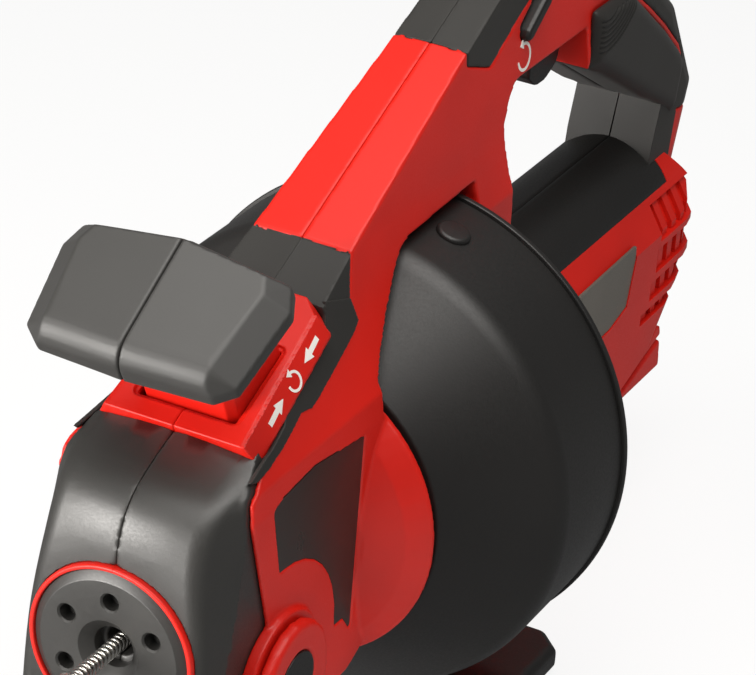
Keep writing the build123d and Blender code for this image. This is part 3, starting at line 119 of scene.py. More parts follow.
class MouldSettings(bpy.types.PropertyGroup):
    edge: FloatProperty(
        name="Edge", description="Rounding of the small hard mouldings' edges",
        default=0.8 * MM, unit="LENGTH",
    )
    crown: FloatProperty(
        name="Crown", description="How far the spine falls from its seam to its edges",
        default=0.9 * MM, unit="LENGTH",
    )
    snout_turn: FloatProperty(
        name="Snout turn", description="Reach of the rounding between the snout's front and its flank",
        default=5 * MM, unit="LENGTH",
    )
    rib_depth: FloatProperty(
        name="Rib depth", description="Depth of the grooves between the grip's ribs",
        default=0.8 * MM, unit="LENGTH",
    )
    rib_pitch: FloatProperty(
        name="Rib pitch", description="Distance from one grip rib to the next",
        default=2.3 * MM, unit="LENGTH",
    )


class FinishSettings(bpy.types.PropertyGroup):
    red: StringProperty(name="Red", description="Red mouldings, sRGB hex", default="#d01a0d")
    charcoal: StringProperty(name="Charcoal", description="Charcoal mouldings, sRGB hex", default="#2c2b29")
    soft: StringProperty(name="Soft cover", description="Soft overmould, sRGB hex", default="#292826")
    black: StringProperty(name="Black", description="Black mouldings, sRGB hex", default="#1c1b1a")


class StageSettings(bpy.types.PropertyGroup):
    azimuth: FloatProperty(
        name="Azimuth", description="Camera's turn to the tool's right",
        default=radians(25.59), subtype="ANGLE",
    )
    elevation: FloatProperty(
        name="Elevation", description="Camera's height above the horizon",
        default=radians(27.18), subtype="ANGLE",
    )
    roll: FloatProperty(
        name="Roll", description="Camera's turn about its own line of sight",
        default=radians(4.61), subtype="ANGLE",
    )
    focal: FloatProperty(name="Focal length", description="Lens in mm on a 36 mm sensor", default=166.67)
    overhead: FloatProperty(
        name="Overhead light", description="Power of the overhead soft box", default=19, unit="POWER"
    )
    front: FloatProperty(
        name="Front light", description="Power of the front soft box", default=31, unit="POWER"
    )


# Mesh helpers


def evaluated(holder):
    """Plain mesh of an object with its modifiers applied; the object and its first mesh go."""
    bpy.context.view_layer.update()
    shown = holder.evaluated_get(bpy.context.evaluated_depsgraph_get())
    made = bpy.data.meshes.new_from_object(shown)
    first = holder.data
    bpy.data.objects.remove(holder)
    bpy.data.meshes.remove(first)
    return made


def linked(name, data):
    """A new object with its data, linked to the scene."""
    made = bpy.data.objects.new(name, data)
    bpy.context.scene.collection.objects.link(made)
    return made


def held(mesh):
    """A mesh on an object of its own, for modifiers."""
    return linked("holder", mesh)


def finished(mesh, bevel=0.0, segments=3, angle=30):
    """Rounds the sharp edges of a closed mesh, smooths it and gives a plain mesh back."""
    holder = held(mesh)
    if bevel:
        rounding = holder.modifiers.new("rounding", "BEVEL")
        rounding.width = bevel
        rounding.segments = segments
        rounding.limit_method = "ANGLE"
        rounding.angle_limit = radians(angle)
        rounding.miter_outer = "MITER_ARC"
        even = holder.modifiers.new("even", "WEIGHTED_NORMAL")
        even.keep_sharp = True
    mesh.shade_smooth()
    mesh.set_sharp_from_angle(angle=radians(angle if bevel == 0 else 60))
    return evaluated(holder)


def formed(bm, voxel, steps, shape=None):
    """Closed form with rounded edges: evenly remeshed, eased, shaped if asked, thinned where it is flat."""
    holder = held(to_mesh(bm, "form"))
    grid = holder.modifiers.new("grid", "REMESH")
    grid.mode = "VOXEL"
    grid.voxel_size = voxel * MM
    ease = holder.modifiers.new("ease", "SMOOTH")
    ease.factor = 0.5
    ease.iterations = steps
    dense = evaluated(holder)
    if shape:
        turns = [normal.vector.copy() for normal in dense.vertex_normals]
        for vert, turn in zip(dense.vertices, turns):
            vert.co = shape(vert.co, turn)
    dense.shade_smooth()
    holder = held(dense)
    thin = holder.modifiers.new("thin", "DECIMATE")
    thin.decimate_type = "DISSOLVE"
    thin.angle_limit = radians(1.0)
    return evaluated(holder)


def evened(mesh):
    """Weights a mesh's normals by area, so that its flat faces look flat."""
    holder = held(mesh)
    holder.modifiers.new("even", "WEIGHTED_NORMAL")
    return evaluated(holder)


def node_copy(*nodes):
    """Copy of CAD nodes with their split corners merged."""
    bm = bmesh.new()
    for node in nodes:
        bm.from_mesh(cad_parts[node].data)
    bmesh.ops.remove_doubles(bm, verts=bm.verts, dist=0.01 * MM)
    return bm


def to_mesh(bm, name):
    """Plain mesh from a bmesh, which is freed."""
    mesh = bpy.data.meshes.new(name)
    bm.to_mesh(mesh)
    bm.free()
    return mesh


def add_piece(name, mesh, body, finish, *nodes, slot=None):
    """Links a finished mesh as a piece that rides on a body and stands for CAD nodes."""
    mesh.materials.clear()
    mesh.materials.append(finishes[finish])
    piece = linked(name, mesh)
    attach(piece, body)
    if nodes:
        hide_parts(*nodes)


def eased(name, node, body, finish, edge, segments=3):
    """A CAD node's shape with rounded edges, as a piece that stands for it."""
    add_piece(name, finished(to_mesh(node_copy(node), name), edge, segments), body, finish, node)


def moulding(name, node, body, finish, voxel, steps):
    """A CAD node's shape as a moulding with soft edges, as a piece that stands for it."""
    add_piece(name, evened(formed(node_copy(node), voxel, steps)), body, finish, node)


def pair(stem, ending, mesh, finish, body="tool"):
    """A right half and its mirror image, as pieces that stand for the two CAD halves."""
    other = mesh.copy()
    other.transform(Matrix.Scale(-1, 4, RIGHT))
    other.flip_normals()
    for side, half in (("_right", mesh), ("_left", other)):
        add_piece(stem + side + "_" + ending, evened(half), body, finish, stem + side)


def crowned(bm, fall):
    """Lets the spine's top fall away from its middle seam."""
    slope = radians(25)
    half_width = 16 * MM
    normal = Vector((0, -sin(slope), cos(slope)))
    start = at(0, -184.6, 71.2)
    for vert in bm.verts:
        height = (vert.co - start).dot(normal)
        if abs(height) < 0.1 * MM:
            share = min(abs(vert.co.x) / half_width, 1.0)
            vert.co -= normal * fall * share
    return bm


def sunk(co, facing):
    """Lets a soft cover's top lie a little below the shell round it."""
    depth_mm = 0.5
    return co - facing * depth_mm * MM if facing.z > 0.6 else co


def arc_corner(before, corner, after, radius, steps):
    """Points that round one corner of a flat line."""
    a = (Vector(before) - Vector(corner)).normalized()
    b = (Vector(after) - Vector(corner)).normalized()
    half = a.angle(b) / 2
    reach = radius / tan(half)
    middle = Vector(corner) + (a + b).normalized() * radius / sin(half)
    start = Vector(corner) + a * reach - middle
    sweep = pi - 2 * half
    turn = 1 if start.x * (b.y - a.y) - start.y * (b.x - a.x) > 0 else -1
    points = []
    for i in range(steps + 1):
        t = turn * sweep * i / steps
        x = start.x * cos(t) - start.y * sin(t)
        y = start.x * sin(t) + start.y * cos(t)
        points.append(middle + Vector((x, y)))
    return points


def rounded_line(points, radii, steps=8):
    """A flat line with its inner corners rounded."""
    line = [Vector(points[0])]
    for i in range(1, len(points) - 1):
        if radii[i]:
            line += arc_corner(points[i - 1], points[i], points[i + 1], radii[i], steps)
        else:
            line.append(Vector(points[i]))
    line.append(Vector(points[-1]))
    return line


def turned(name, profile, sides, centre, along):
    """Closed form turned about an axis from (along, radius) points in mm; ends on the axis close as poles."""
    bm = bmesh.new()
    side = along.cross(RIGHT)
    rings = []
    for point in profile:
        if point[1] < 1e-6:
            rings.append([bm.verts.new(centre + along * point[0] * MM)])
            continue
        ring = []
        for i in range(sides):
            t = 2 * pi * i / sides
            out = RIGHT * cos(t) + side * sin(t)
            ring.append(bm.verts.new(centre + along * point[0] * MM + out * point[1] * MM))
        rings.append(ring)
    pairs = list(zip(rings, rings[1:]))
    if len(rings[0]) > 1:
        pairs.append((rings[-1], rings[0]))
    for low, high in pairs:
        for i in range(sides):
            j = (i + 1) % sides
            corners = [low[i % len(low)], low[j % len(low)], high[j % len(high)], high[i % len(high)]]
            bm.faces.new(list(dict.fromkeys(corners)))
    bmesh.ops.recalc_face_normals(bm, faces=bm.faces)
    return to_mesh(bm, name)


def cut_away(mesh, cutter):
    """Takes a closed cutter mesh out of a closed mesh."""
    holder = held(mesh)
    knife = held(cutter)
    boolean = holder.modifiers.new("cut", "BOOLEAN")
    boolean.operation = "DIFFERENCE"
    boolean.solver = "EXACT"
    boolean.object = knife
    made = evaluated(holder)
    bpy.data.objects.remove(knife)
    return made


def box_mesh(low, high):
    """A plain box between two corners, used as a cutter."""
    bm = bmesh.new()
    bmesh.ops.create_cube(bm, size=1.0)
    bmesh.ops.scale(bm, vec=high - low, verts=bm.verts)
    bmesh.ops.translate(bm, vec=(low + high) / 2, verts=bm.verts)
    return to_mesh(bm, "box")


def skinned(bm, rings):
    """Closes rings of corners into a solid with a face at each end."""
    bm.faces.new(rings[0])
    bm.faces.new(rings[-1])
    for ring, after in zip(rings, rings[1:]):
        for i in range(len(ring)):
            bm.faces.new([ring[i - 1], ring[i], after[i], after[i - 1]])
    bmesh.ops.recalc_face_normals(bm, faces=bm.faces)
    return bm


def bar_across(points, half):
    """A bar across the tool with a side outline of (y, z) points in mm."""
    bm = bmesh.new()
    return skinned(bm, [[bm.verts.new(at(x, y, z)) for y, z in points] for x in (-half, half)])


def printed(outlines, origin, along, normal):
    """Flat shapes of (along, across) points in mm, a print's thickness proud of a face."""
    across = normal.cross(along)
    under_mm = 0.3
    proud_mm = 0.12
    bm = bmesh.new()
    for outline in outlines:
        spots = [origin + along * a * MM + across * b * MM for a, b in outline]
        low = [bm.verts.new(spot - normal * under_mm * MM) for spot in spots]
        high = [bm.verts.new(spot + normal * proud_mm * MM) for spot in spots]
        skinned(bm, [low, high])
    return to_mesh(bm, "print")


def arrow(length, width):
    """Outline of a straight arrow that points along."""
    half = length / 2
    neck = half - width
    shaft = width * 0.22
    side = [(-half, shaft), (neck, shaft), (neck, width / 2)]
    return [(a, -b) for a, b in side] + [(half, 0)] + side[::-1]


def turn_arrow(radius, line, start, end):
    """Outlines of a round arrow between two angles in degrees: its band and its head."""
    band = []
    for rim in (radius + line / 2, radius - line / 2):
        row = []
        for i in range(25):
            t = radians(start + (end - start) * i / 24)
            row.append((rim * cos(t), rim * sin(t)))
        band += row if not band else row[::-1]
    t = radians(end)
    ahead = Vector((-sin(t), cos(t))) * (1 if end > start else -1)
    out = Vector((cos(t), sin(t)))
    tip = out * radius
    head = [tip + out * line * 1.6, tip - out * line * 1.6, tip + ahead * line * 2.4]
    return [band, [tuple(point) for point in head]]


def joined(name, *meshes):
    """Several meshes as one."""
    bm = bmesh.new()
    for mesh in meshes:
        bm.from_mesh(mesh)
    return to_mesh(bm, name)


def grown(name, values, build, finish):
    """Mesh from a geometry tree with named inputs: build adds its nodes, whose result gets a finish."""
    tree = bpy.data.node_groups.new(name, "GeometryNodeTree")
    tree.interface.new_socket("Geometry", in_out="OUTPUT", socket_type="NodeSocketGeometry")
    kinds = {int: "NodeSocketInt", float: "NodeSocketFloat", tuple: "NodeSocketVector"}
    settings = {}
    for key, value in values.items():
        socket = tree.interface.new_socket(key, in_out="INPUT", socket_type=kinds[type(value)])
        settings[socket.identifier] = value
    made = build(tree, add_node(tree, "NodeGroupInput").outputs)
    real = add_node(tree, "GeometryNodeRealizeInstances", links=[("Geometry", made)])
    shown = [("Geometry", real.outputs["Geometry"])]
    dressed = add_node(tree, "GeometryNodeSetMaterial", {"Material": finishes[finish]}, shown)
    add_node(tree, "NodeGroupOutput", links=[("Geometry", dressed.outputs["Geometry"])])
    holder = held(bpy.data.meshes.new(name))
    modifier = holder.modifiers.new(name, "NODES")
    modifier.node_group = tree
    for identifier, value in settings.items():
        modifier[identifier] = value
    return evaluated(holder)


# Finishes


def linear(code):
    """Linear colour from an sRGB hex value."""
    channels = [int(code[i : i + 2], 16) / 255 for i in (1, 3, 5)]
    return [c / 12.92 if c <= 0.04045 else ((c + 0.055) / 1.055) ** 2.4 for c in channels] + [1.0]


def add_node(tree, kind, inputs=None, links=(), **settings):
    """Adds a node with its settings, its input values and its links."""
    node = tree.nodes.new(kind)
    for key, value in settings.items():
        setattr(node, key, value)
    for key, value in (inputs or {}).items():
        node.inputs[key].default_value = value
    for key, source in links:
        tree.links.new(source, node.inputs[key])
    return node


def new_material(name, values=None):
    """A node material with only its shader, which takes values, and its output."""
    material = bpy.data.materials.new(name)
    material.use_nodes = True
    tree = material.node_tree
    tree.nodes.clear()
    shader = add_node(tree, "ShaderNodeBsdfPrincipled", values)
    add_node(tree, "ShaderNodeOutputMaterial", links=[("Surface", shader.outputs["BSDF"])])
    return material, tree, shader


def wire_up(tree, shader, code, dark, tone, gloss, limits, relief, strength, depth_mm, span=(0, 1)):
    """Joins patterns to a shader: colour from a darker tone to the full one, roughness, and fine relief."""
    deep = [dark * c for c in linear(code)[:3]] + [1.0]
    colour = add_node(tree, "ShaderNodeMix", {6: deep, 7: linear(code)}, [(0, tone)], data_type="RGBA")
    tree.links.new(colour.outputs[2], shader.inputs["Base Color"])
    scale = {"From Min": span[0], "From Max": span[1], "To Min": limits[0], "To Max": limits[1]}
    rough = add_node(tree, "ShaderNodeMapRange", scale, [("Value", gloss)])
    tree.links.new(rough.outputs["Result"], shader.inputs["Roughness"])
    lift = {"Strength": strength, "Distance": depth_mm * MM}
    bump = add_node(tree, "ShaderNodeBump", lift, [("Height", relief)])
    tree.links.new(bump.outputs["Normal"], shader.inputs["Normal"])


def moulded(name, code, grain_mm, depth_mm, roughness, shine):
    """Injection-moulded plastic off an eroded tool: even colour, fine grain, gloss that varies a little."""
    # The grain of such a tool is about 0.2 mm; it is drawn coarser so that it shows in the picture.
    material, tree, shader = new_material(name, {"Specular IOR Level": shine})
    place = [("Vector", add_node(tree, "ShaderNodeTexCoord").outputs["Object"])]
    fine = {"Scale": 1 / (grain_mm * MM), "Detail": 3.0, "Roughness": 0.6}
    grain = add_node(tree, "ShaderNodeTexNoise", fine, place).outputs["Fac"]
    flow = add_node(tree, "ShaderNodeTexNoise", {"Scale": 1 / (45 * MM), "Detail": 2.0}, place).outputs["Fac"]
    band = {"From Min": 0.35, "From Max": 0.65}
    tone = add_node(tree, "ShaderNodeMapRange", band, [("Value", flow)]).outputs["Result"]
    limits = (roughness - 0.06, roughness + 0.06)
    wire_up(tree, shader, code, 0.9, tone, grain, limits, grain, 1.0, depth_mm, (0.3, 0.7))
    return material


def soft_moulded(name, code, shine):
    """Thermoplastic rubber moulded over the shell: matt, pebbled, with a soft sheen at grazing angles."""
    # Pebbles are about 0.5 mm on the real cover, drawn at 0.9 mm so that they show.
    sheen = {"Specular IOR Level": shine, "Sheen Weight": 0.04, "Sheen Roughness": 0.5}
    material, tree, shader = new_material(name, sheen)
    place = [("Vector", add_node(tree, "ShaderNodeTexCoord").outputs["Object"])]
    size = {"Scale": 1 / (0.9 * MM)}
    pebble = add_node(tree, "ShaderNodeTexVoronoi", size, place, feature="SMOOTH_F1").outputs["Distance"]
    mottle = {"Scale": 1 / (30 * MM), "Detail": 3.0}
    cloud = add_node(tree, "ShaderNodeTexNoise", mottle, place).outputs["Fac"]
    wire_up(tree, shader, code, 0.82, cloud, cloud, (0.5, 0.62), pebble, 0.6, 0.02)
    return material


def metal(name, code, roughness, line_mm, stretch):
    """Drawn, turned or ground metal: fine lines across the part that streak its gloss."""
    material, tree, shader = new_material(name, {"Metallic": 1.0})
    place = [("Vector", add_node(tree, "ShaderNodeTexCoord").outputs["Object"])]
    drawn = [("Vector", add_node(tree, "ShaderNodeMapping", {"Scale": stretch}, place).outputs["Vector"])]
    size = {"Scale": 1 / (line_mm * MM), "Detail": 4.0}
    lines = add_node(tree, "ShaderNodeTexNoise", size, drawn).outputs["Fac"]
    wire_up(tree, shader, code, 0.8, lines, lines, (roughness * 0.7, roughness * 1.3), lines, 0.3, 0.01)
    return material


def printed_film(name, code):
    """Polyester label film: smooth and glossier than the shell, with a slight waviness from its glue."""
    material, tree, shader = new_material(name)
    place = [("Vector", add_node(tree, "ShaderNodeTexCoord").outputs["Object"])]
    wave = add_node(tree, "ShaderNodeTexNoise", {"Scale": 1 / (12 * MM), "Detail": 2.0}, place).outputs["Fac"]
    wire_up(tree, shader, code, 0.85, wave, wave, (0.24, 0.36), wave, 0.2, 0.05)
    return material


finishes = {}


def make_finishes():
    """All finishes, by the names that the pieces ask for."""
    colours = bpy.context.scene.drain_finish
    # Satin ABS: one bright red with a broad soft highlight
    finishes["red"] = moulded("red_abs_satin_moulded", colours.red, 0.7, 0.012, 0.42, 0.4)
    # Filled nylon: greyer where it faces the light, near black in the shade
    finishes["charcoal"] = moulded("charcoal_nylon_fine_grain", colours.charcoal, 0.8, 0.02, 0.44, 0.9)
    # Polypropylene off a coarser tool: a black that stays dull
    finishes["black"] = moulded("black_polypropylene_eroded", colours.black, 0.9, 0.025, 0.45, 0.6)
    # Rubber covers: the paddle's catches more light, the grip's is dull, and the treads are blacker
    finishes["soft"] = soft_moulded("thermoplastic_rubber_smooth", colours.soft, 0.9)
    finishes["grip"] = soft_moulded("thermoplastic_rubber_overmould", colours.soft, 0.4)
    finishes["tread"] = soft_moulded("nitrile_rubber_tread", "#1d1c1b", 0.3)
    # Label film and printing ink: flat colour, sharper gloss than the shell
    finishes["film"] = printed_film("polyester_label_film", "#2b2926")
    finishes["white"] = printed_film("white_pad_print", "#f4f1ec")
    # The motor's side plates: smooth warm grey
    finishes["panel"] = moulded("grey_abs_smooth_panel", "#66625b", 0.6, 0.006, 0.4, 0.6)
    # Metals: bright wire, dull zinc, ground steel, turned alloy and stamped brass
    finishes["spring"] = metal("spring_steel_bright_drawn", "#cfccc6", 0.24, 0.6, (1, 1, 1))
    finishes["zinc"] = metal("steel_zinc_plated", "#a9a8a4", 0.35, 0.5, (1, 1, 1))
    finishes["steel"] = metal("steel_ground", "#b4b2ae", 0.3, 0.4, (1, 0.2, 1))
    finishes["alloy"] = metal("aluminium_turned", "#c9c9c8", 0.3, 0.3, (1, 6, 1))
    finishes["brass"] = metal("brass_stamped", "#d0b16a", 0.3, 0.5, (1, 1, 4))
    # Unfilled nylon inside: even mid grey, matt
    finishes["nylon"] = moulded("nylon_natural_moulded", "#5b5a57", 0.6, 0.02, 0.5, 0.5)


# Pieces


class DRAIN_OT_spring_cable(bpy.types.Operator):
    """Winds the spring cable out of the nose and sets its tip"""

    bl_idname = "drain.spring_cable"
    bl_label = "Spring cable"

    def execute(self, context):
        cable = context.scene.drain_cable
        low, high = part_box("spring_cable")
        start = at(0, -212, 0)
        length = start.y - low.y - 0.5 * MM

        def wind(tree, given):
            """A wire swept along a helix that runs forward from the nose."""
            helix = [
                ("Rotations", given["Turns"]),
                ("Start Radius", given["Curl radius"]),
                ("End Radius", given["Curl radius"]),
                ("Height", given["Length"]),
            ]
            spiral = add_node(tree, "GeometryNodeCurveSpiral", {"Resolution": 32}, helix)
            thick = [("Radius", given["Wire radius"])]
            wire = add_node(tree, "GeometryNodeCurvePrimitiveCircle", {"Resolution": 12}, thick)
            sweep = [("Curve", spiral.outputs["Curve"]), ("Profile Curve", wire.outputs["Curve"])]
            tube = add_node(tree, "GeometryNodeCurveToMesh", {"Fill Caps": True}, sweep)
            smooth = add_node(tree, "GeometryNodeSetShadeSmooth", links=[("Geometry", tube.outputs["Mesh"])])
            place = {"Rotation": (pi / 2, 0, 0), "Translation": start}
            turn = add_node(tree, "GeometryNodeTransform", place, [("Geometry", smooth.outputs[0])])
            return turn.outputs["Geometry"]

        values = {
            "Turns": length / cable.pitch,
            "Curl radius": cable.radius - cable.wire,
            "Wire radius": cable.wire,
            "Length": length,
        }
        wound = grown("wound_spring", values, wind, "spring")
        ahead = length / MM
        core = turned("core", [(0, 0), (0, 1.5), (ahead, 1.5), (ahead, 0)], 20, start, FORWARD)
        behind = (high.y - start.y) / MM
        tail = turned("tail", [(0, 0), (0, 3), (behind, 3), (behind, 0)], 24, start, BACKWARD)
        mesh = finished(joined("spring_cable_wound", wound, core, tail), angle=40)
        add_piece("spring_cable_wound", mesh, "drum", "spring", "spring_cable")
        rear, size, outside = round_size("cable_tip")
        neck = outside * 0.72
        line = [(0, 0), (0, neck), (size * 0.18, outside), (size * 0.82, outside), (size, neck), (size, 0)]
        profile = rounded_line(line, [0, 1, 1.2, 1.2, 1, 0], 4)
        bulb = finished(turned("cable_tip_bulb", profile, 40, rear, FORWARD), angle=40)
        add_piece("cable_tip_bulb", bulb, "drum", "spring", "cable_tip")
        return {"FINISHED"}


# The nose's screws: how many, and the radius in mm of the circle that they stand on
SCREW_COUNT = 6
SCREW_CIRCLE = 20


class DRAIN_OT_nose(bpy.types.Operator):
    """Turns the nose disc with its holes, the split ring and the screws"""

    bl_idname = "drain.nose"
    bl_label = "Nose"

    def execute(self, context):
        rear, deep, outside = round_size("nose_disc")
        line = [(0, 8), (0, outside), (deep - 2.2, outside), (deep, outside - 3.4)]
        line += [(deep, 12.3), (deep - 4.2, 8), (0, 8)]
        profile = rounded_line(line, [0, 0.3, 0.6, 0.8, 0.6, 0.4, 0], 4)[:-1]
        disc = turned("disc", profile, 128, rear, FORWARD)
        floor = 2.9
        hole = [(floor, 0), (floor, 3.3), (deep - 0.7, 3.3), (deep + 0.5, 4.5), (deep + 0.5, 0)]
        shank = [(-1, 0), (-1, 1.55), (floor + 0.4, 1.55), (floor + 0.4, 0)]
        for i in range(SCREW_COUNT):
            t = radians(90 + 360 / SCREW_COUNT * i)
            spot = rear + Vector((cos(t), 0, sin(t))) * SCREW_CIRCLE * MM
            disc = cut_away(disc, turned("hole", hole, 40, spot, FORWARD))
            disc = cut_away(disc, turned("shank_hole", shank, 20, spot, FORWARD))
        add_piece("nose_disc_turned", finished(disc, angle=28), "tool", "charcoal", "nose_disc")
        rear, deep, outside = round_size("nose_ring")
        inside = outside - 1.9
        line = [(0, inside), (0, outside), (deep, outside), (deep, inside), (0, inside)]
        profile = rounded_line(line, [0, 0.2, 0.9, 0.7, 0], 5)[:-1]
        ring = turned("ring", profile, 160, rear, FORWARD)
        half_slit = Vector((0.06, 20, 60)) * MM
        ring = finished(cut_away(ring, box_mesh(rear - half_slit, rear + half_slit)), angle=40)
        add_piece("nose_ring_split", ring, "tool", "red", "nose_ring")
        self.set_screws()
        return {"FINISHED"}

    def set_screws(self):
        """Pan-head screws on a circle, from one screw."""
        under = 6
        top = under + 2.0
        line = [(0, 0), (0, 1.5), (under, 1.5), (under, 3), (top, 3), (top, 0)]
        profile = rounded_line(line, [0, 0, 0, 0, 0.8, 0], 4)
        screw = turned("screw", profile, 24, ORIGIN, FORWARD)
        for turn in (0, pi / 2):
            bar = bmesh.new()
            bmesh.ops.create_cube(bar, size=1.0)
            bmesh.ops.scale(bar, vec=(0.8 * MM, 2.4 * MM, 3.6 * MM), verts=bar.verts)
            bmesh.ops.rotate(bar, matrix=Matrix.Rotation(turn + 0.4, 3, "Y"), verts=bar.verts)
            bmesh.ops.translate(bar, vec=FORWARD * top * MM, verts=bar.verts)
            screw = cut_away(screw, to_mesh(bar, "bar"))
        holder = bpy.data.objects.new("one_screw", screw)

        def spread(tree, given):
            """The screw on each point of a circle round the cable's outlet."""
            size = [("Vertices", given["Count"]), ("Radius", given["Circle radius"])]
            circle = add_node(tree, "GeometryNodeMeshCircle", links=size)
            place = {"Rotation": (pi / 2, pi / 2, 0), "Translation": round_size("nose_screws")[0]}
            stand = add_node(tree, "GeometryNodeTransform", place, [("Geometry", circle.outputs["Mesh"])])
            shape = add_node(tree, "GeometryNodeObjectInfo", {"Object": holder})
            spots = [("Points", stand.outputs["Geometry"]), ("Instance", shape.outputs["Geometry"])]
            return add_node(tree, "GeometryNodeInstanceOnPoints", links=spots).outputs["Instances"]

        values = {"Count": SCREW_COUNT, "Circle radius": SCREW_CIRCLE * MM}
        mesh = grown("screw_circle", values, spread, "zinc")
        bpy.data.objects.remove(holder)
        add_piece("nose_screw_set", finished(mesh, angle=35), "tool", "zinc", "nose_screws")


# The snout's skin in mm, from the nose up to the feed plate: its line at the seam, the line where its front
# turns into the flank, and the flank at the cheek
SNOUT_SEAM = [
    (-221.5, -30), (-221.5, -10), (-221.5, 2.5), (-221.5, 14.5), (-221.5, 26),
    (-221.5, 34), (-220.9, 41), (-219.5, 48.5), (-216.8, 54.6), (-211.4, 59.8),
    (-203.7, 64.2), (-193.9, 67.6), (-184.6, 71.2),
]
SNOUT_TURN = [
    (37.8, -221.5, -30), (37.4, -221.5, -10), (36.4, -221.5, 2.5), (34.3, -221.5, 14.5),
    (32.2, -220.8, 26), (31.0, -219.2, 34), (30.3, -217.3, 42), (30.0, -214.8, 50),
    (30.0, -211.0, 55.6), (30.0, -204.6, 60.2), (30.3, -197.2, 63.5), (31.0, -191.0, 65.8),
    (32.0, -183.5, 68.6),
]
SNOUT_FLANK = [
    (-205.0, -30), (-203.0, -10), (-201.5, 2.5), (-200.0, 14.5), (-198.5, 27),
    (-197.3, 36), (-196.1, 44), (-195.3, 50.5), (-194.0, 55), (-191.5, 58.5),
    (-189.0, 61), (-186.7, 62.5), (-184.0, 64),
]


def smooth_row(points, steps):
    """A smooth line along points, with steps to each span."""
    line = []
    last = len(points) - 1
    for _ in range(3):
        middle = [(points[i - 1] + 2 * points[i] + points[i + 1]) / 4 for i in range(1, last)]
        points = [points[0]] + middle + [points[last]]
    for i in range(last):
        a, b, c, d = (points[min(max(j, 0), last)] for j in (i - 1, i, i + 1, i + 2))
        for k in range(steps):
            t = k / steps
            square = (a - 2.5 * b + 2 * c - 0.5 * d) * t**2
            cube = (1.5 * b - 0.5 * a - 1.5 * c + 0.5 * d) * t**3
            line.append(b + (c - a) * 0.5 * t + square + cube)
    return line + [points[last]]


def skin_tree(rows):
    """Search tree of the sheet between rows of points."""
    verts = [point for row in rows for point in row]
    wide = len(rows[0])
    faces = []
    for i in range(len(rows) - 1):
        for j in range(wide - 1):
            k = i * wide + j
            faces.append((k, k + 1, k + wide + 1, k + wide))
    return BVHTree.FromPolygons(verts, faces)


class DRAIN_OT_snout(bpy.types.Operator):
    """Forms the two charcoal halves of the snout as smooth sheets with a rounded turn to the flank"""

    bl_idname = "drain.snout"
    bl_label = "Snout"

    def execute(self, context):
        seam = [at(0, y, z) for y, z in SNOUT_SEAM]
        turn = [at(*point) for point in SNOUT_TURN]
        flank = [at(40, y, z) for y, z in SNOUT_FLANK]
        plain = skin_tree(list(zip(seam, turn, flank)))
        rows = zip(smooth_row(seam, 6), smooth_row(turn, 6), smooth_row(flank, 6))
        reach = context.scene.drain_mould.snout_turn
        smooth = skin_tree([self.section(*row, reach) for row in rows])
        bm = node_copy("body_right")
        body = BVHTree.FromBMesh(bm)
        bm.free()
        fade = 4 * MM
        skin = 1.1 * MM
        beside_seam = 0.8 * MM

        def sheet(co, facing):
            """Moves a point of the flat-faced skin to the smooth one, less so near the body and the seam."""
            place, normal, _, far = plain.find_nearest(co, fade)
            if place is None:
                return co
            clear = body.find_nearest(co, fade)[3]
            share = 1 if clear is None else clear / fade
            depth = min(max((fade - far) / (2.5 * MM), 0), 1)
            beside = co + (smooth.find_nearest(place)[0] - place) * share * depth
            if far > skin or abs(facing.dot(normal)) < 0.4:
                return beside if co.x < beside_seam else co
            inward = min(max((co.x - beside_seam) / (2 * MM), 0), 1)
            return beside.lerp(co.lerp(smooth.find_nearest(co)[0], share), inward)

        pair("snout", "half", formed(node_copy("snout_right"), 0.8, 6, sheet), "charcoal")
        return {"FINISHED"}

    def section(self, seam, turn, flank, reach):
        """Points across the skin: bowed from the seam, then round the turn to the flank."""
        step = turn - seam
        down = flank - turn
        last = 1 - reach / Vector((step.x, 2 * step.y, 2 * step.z)).length
        points = []
        for i in range(11):
            t = last * i / 10
            points.append(seam + Vector((step.x * t, step.y * t * t, step.z * t * t)))
        start = points[-1]
        end = turn + down * min(reach / down.length, 0.45)
        for i in range(1, 9):
            t = i / 8
            points.append(start * (1 - t) ** 2 + turn * 2 * t * (1 - t) + end * t * t)
        return points + [end.lerp(flank, 0.5), flank]


# Pairs of points in mm along the insert's edge beside the feed plate: next to the plate and next to the neck
SKIRT = [
    ((22.9, -113.0, 99.6), (23.9, -101.4, 96.0)),
    ((24.6, -115.3, 93.0), (26.6, -98.8, 86.6)),
    ((25.8, -116.9, 89.1), (27.5, -103.5, 84.0)),
    ((26.9, -119.9, 85.8), (28.3, -109.4, 81.8)),
    ((28.7, -132.8, 80.6), (30.1, -123.6, 77.0)),
    ((30.6, -146.8, 76.0), (32.0, -138.2, 72.6)),
    ((31.2, -150.6, 74.6), (32.5, -143.0, 71.7)),
    ((31.4, -153.6, 74.0), (32.0, -150.1, 72.7)),
    ((32.1, -159.7, 72.1), (32.9, -155.9, 70.7)),
    ((33.3, -167.0, 69.8), (34.0, -163.4, 68.4)),
    ((34.1, -172.0, 68.4), (34.8, -168.5, 67.0)),
    ((34.5, -176.7, 67.5), (35.2, -173.2, 66.1)),
    ((35.3, -183.3, 66.0), (36.0, -179.8, 64.6)),
    ((36.2, -190.8, 64.2), (36.4, -189.6, 63.7)),
]


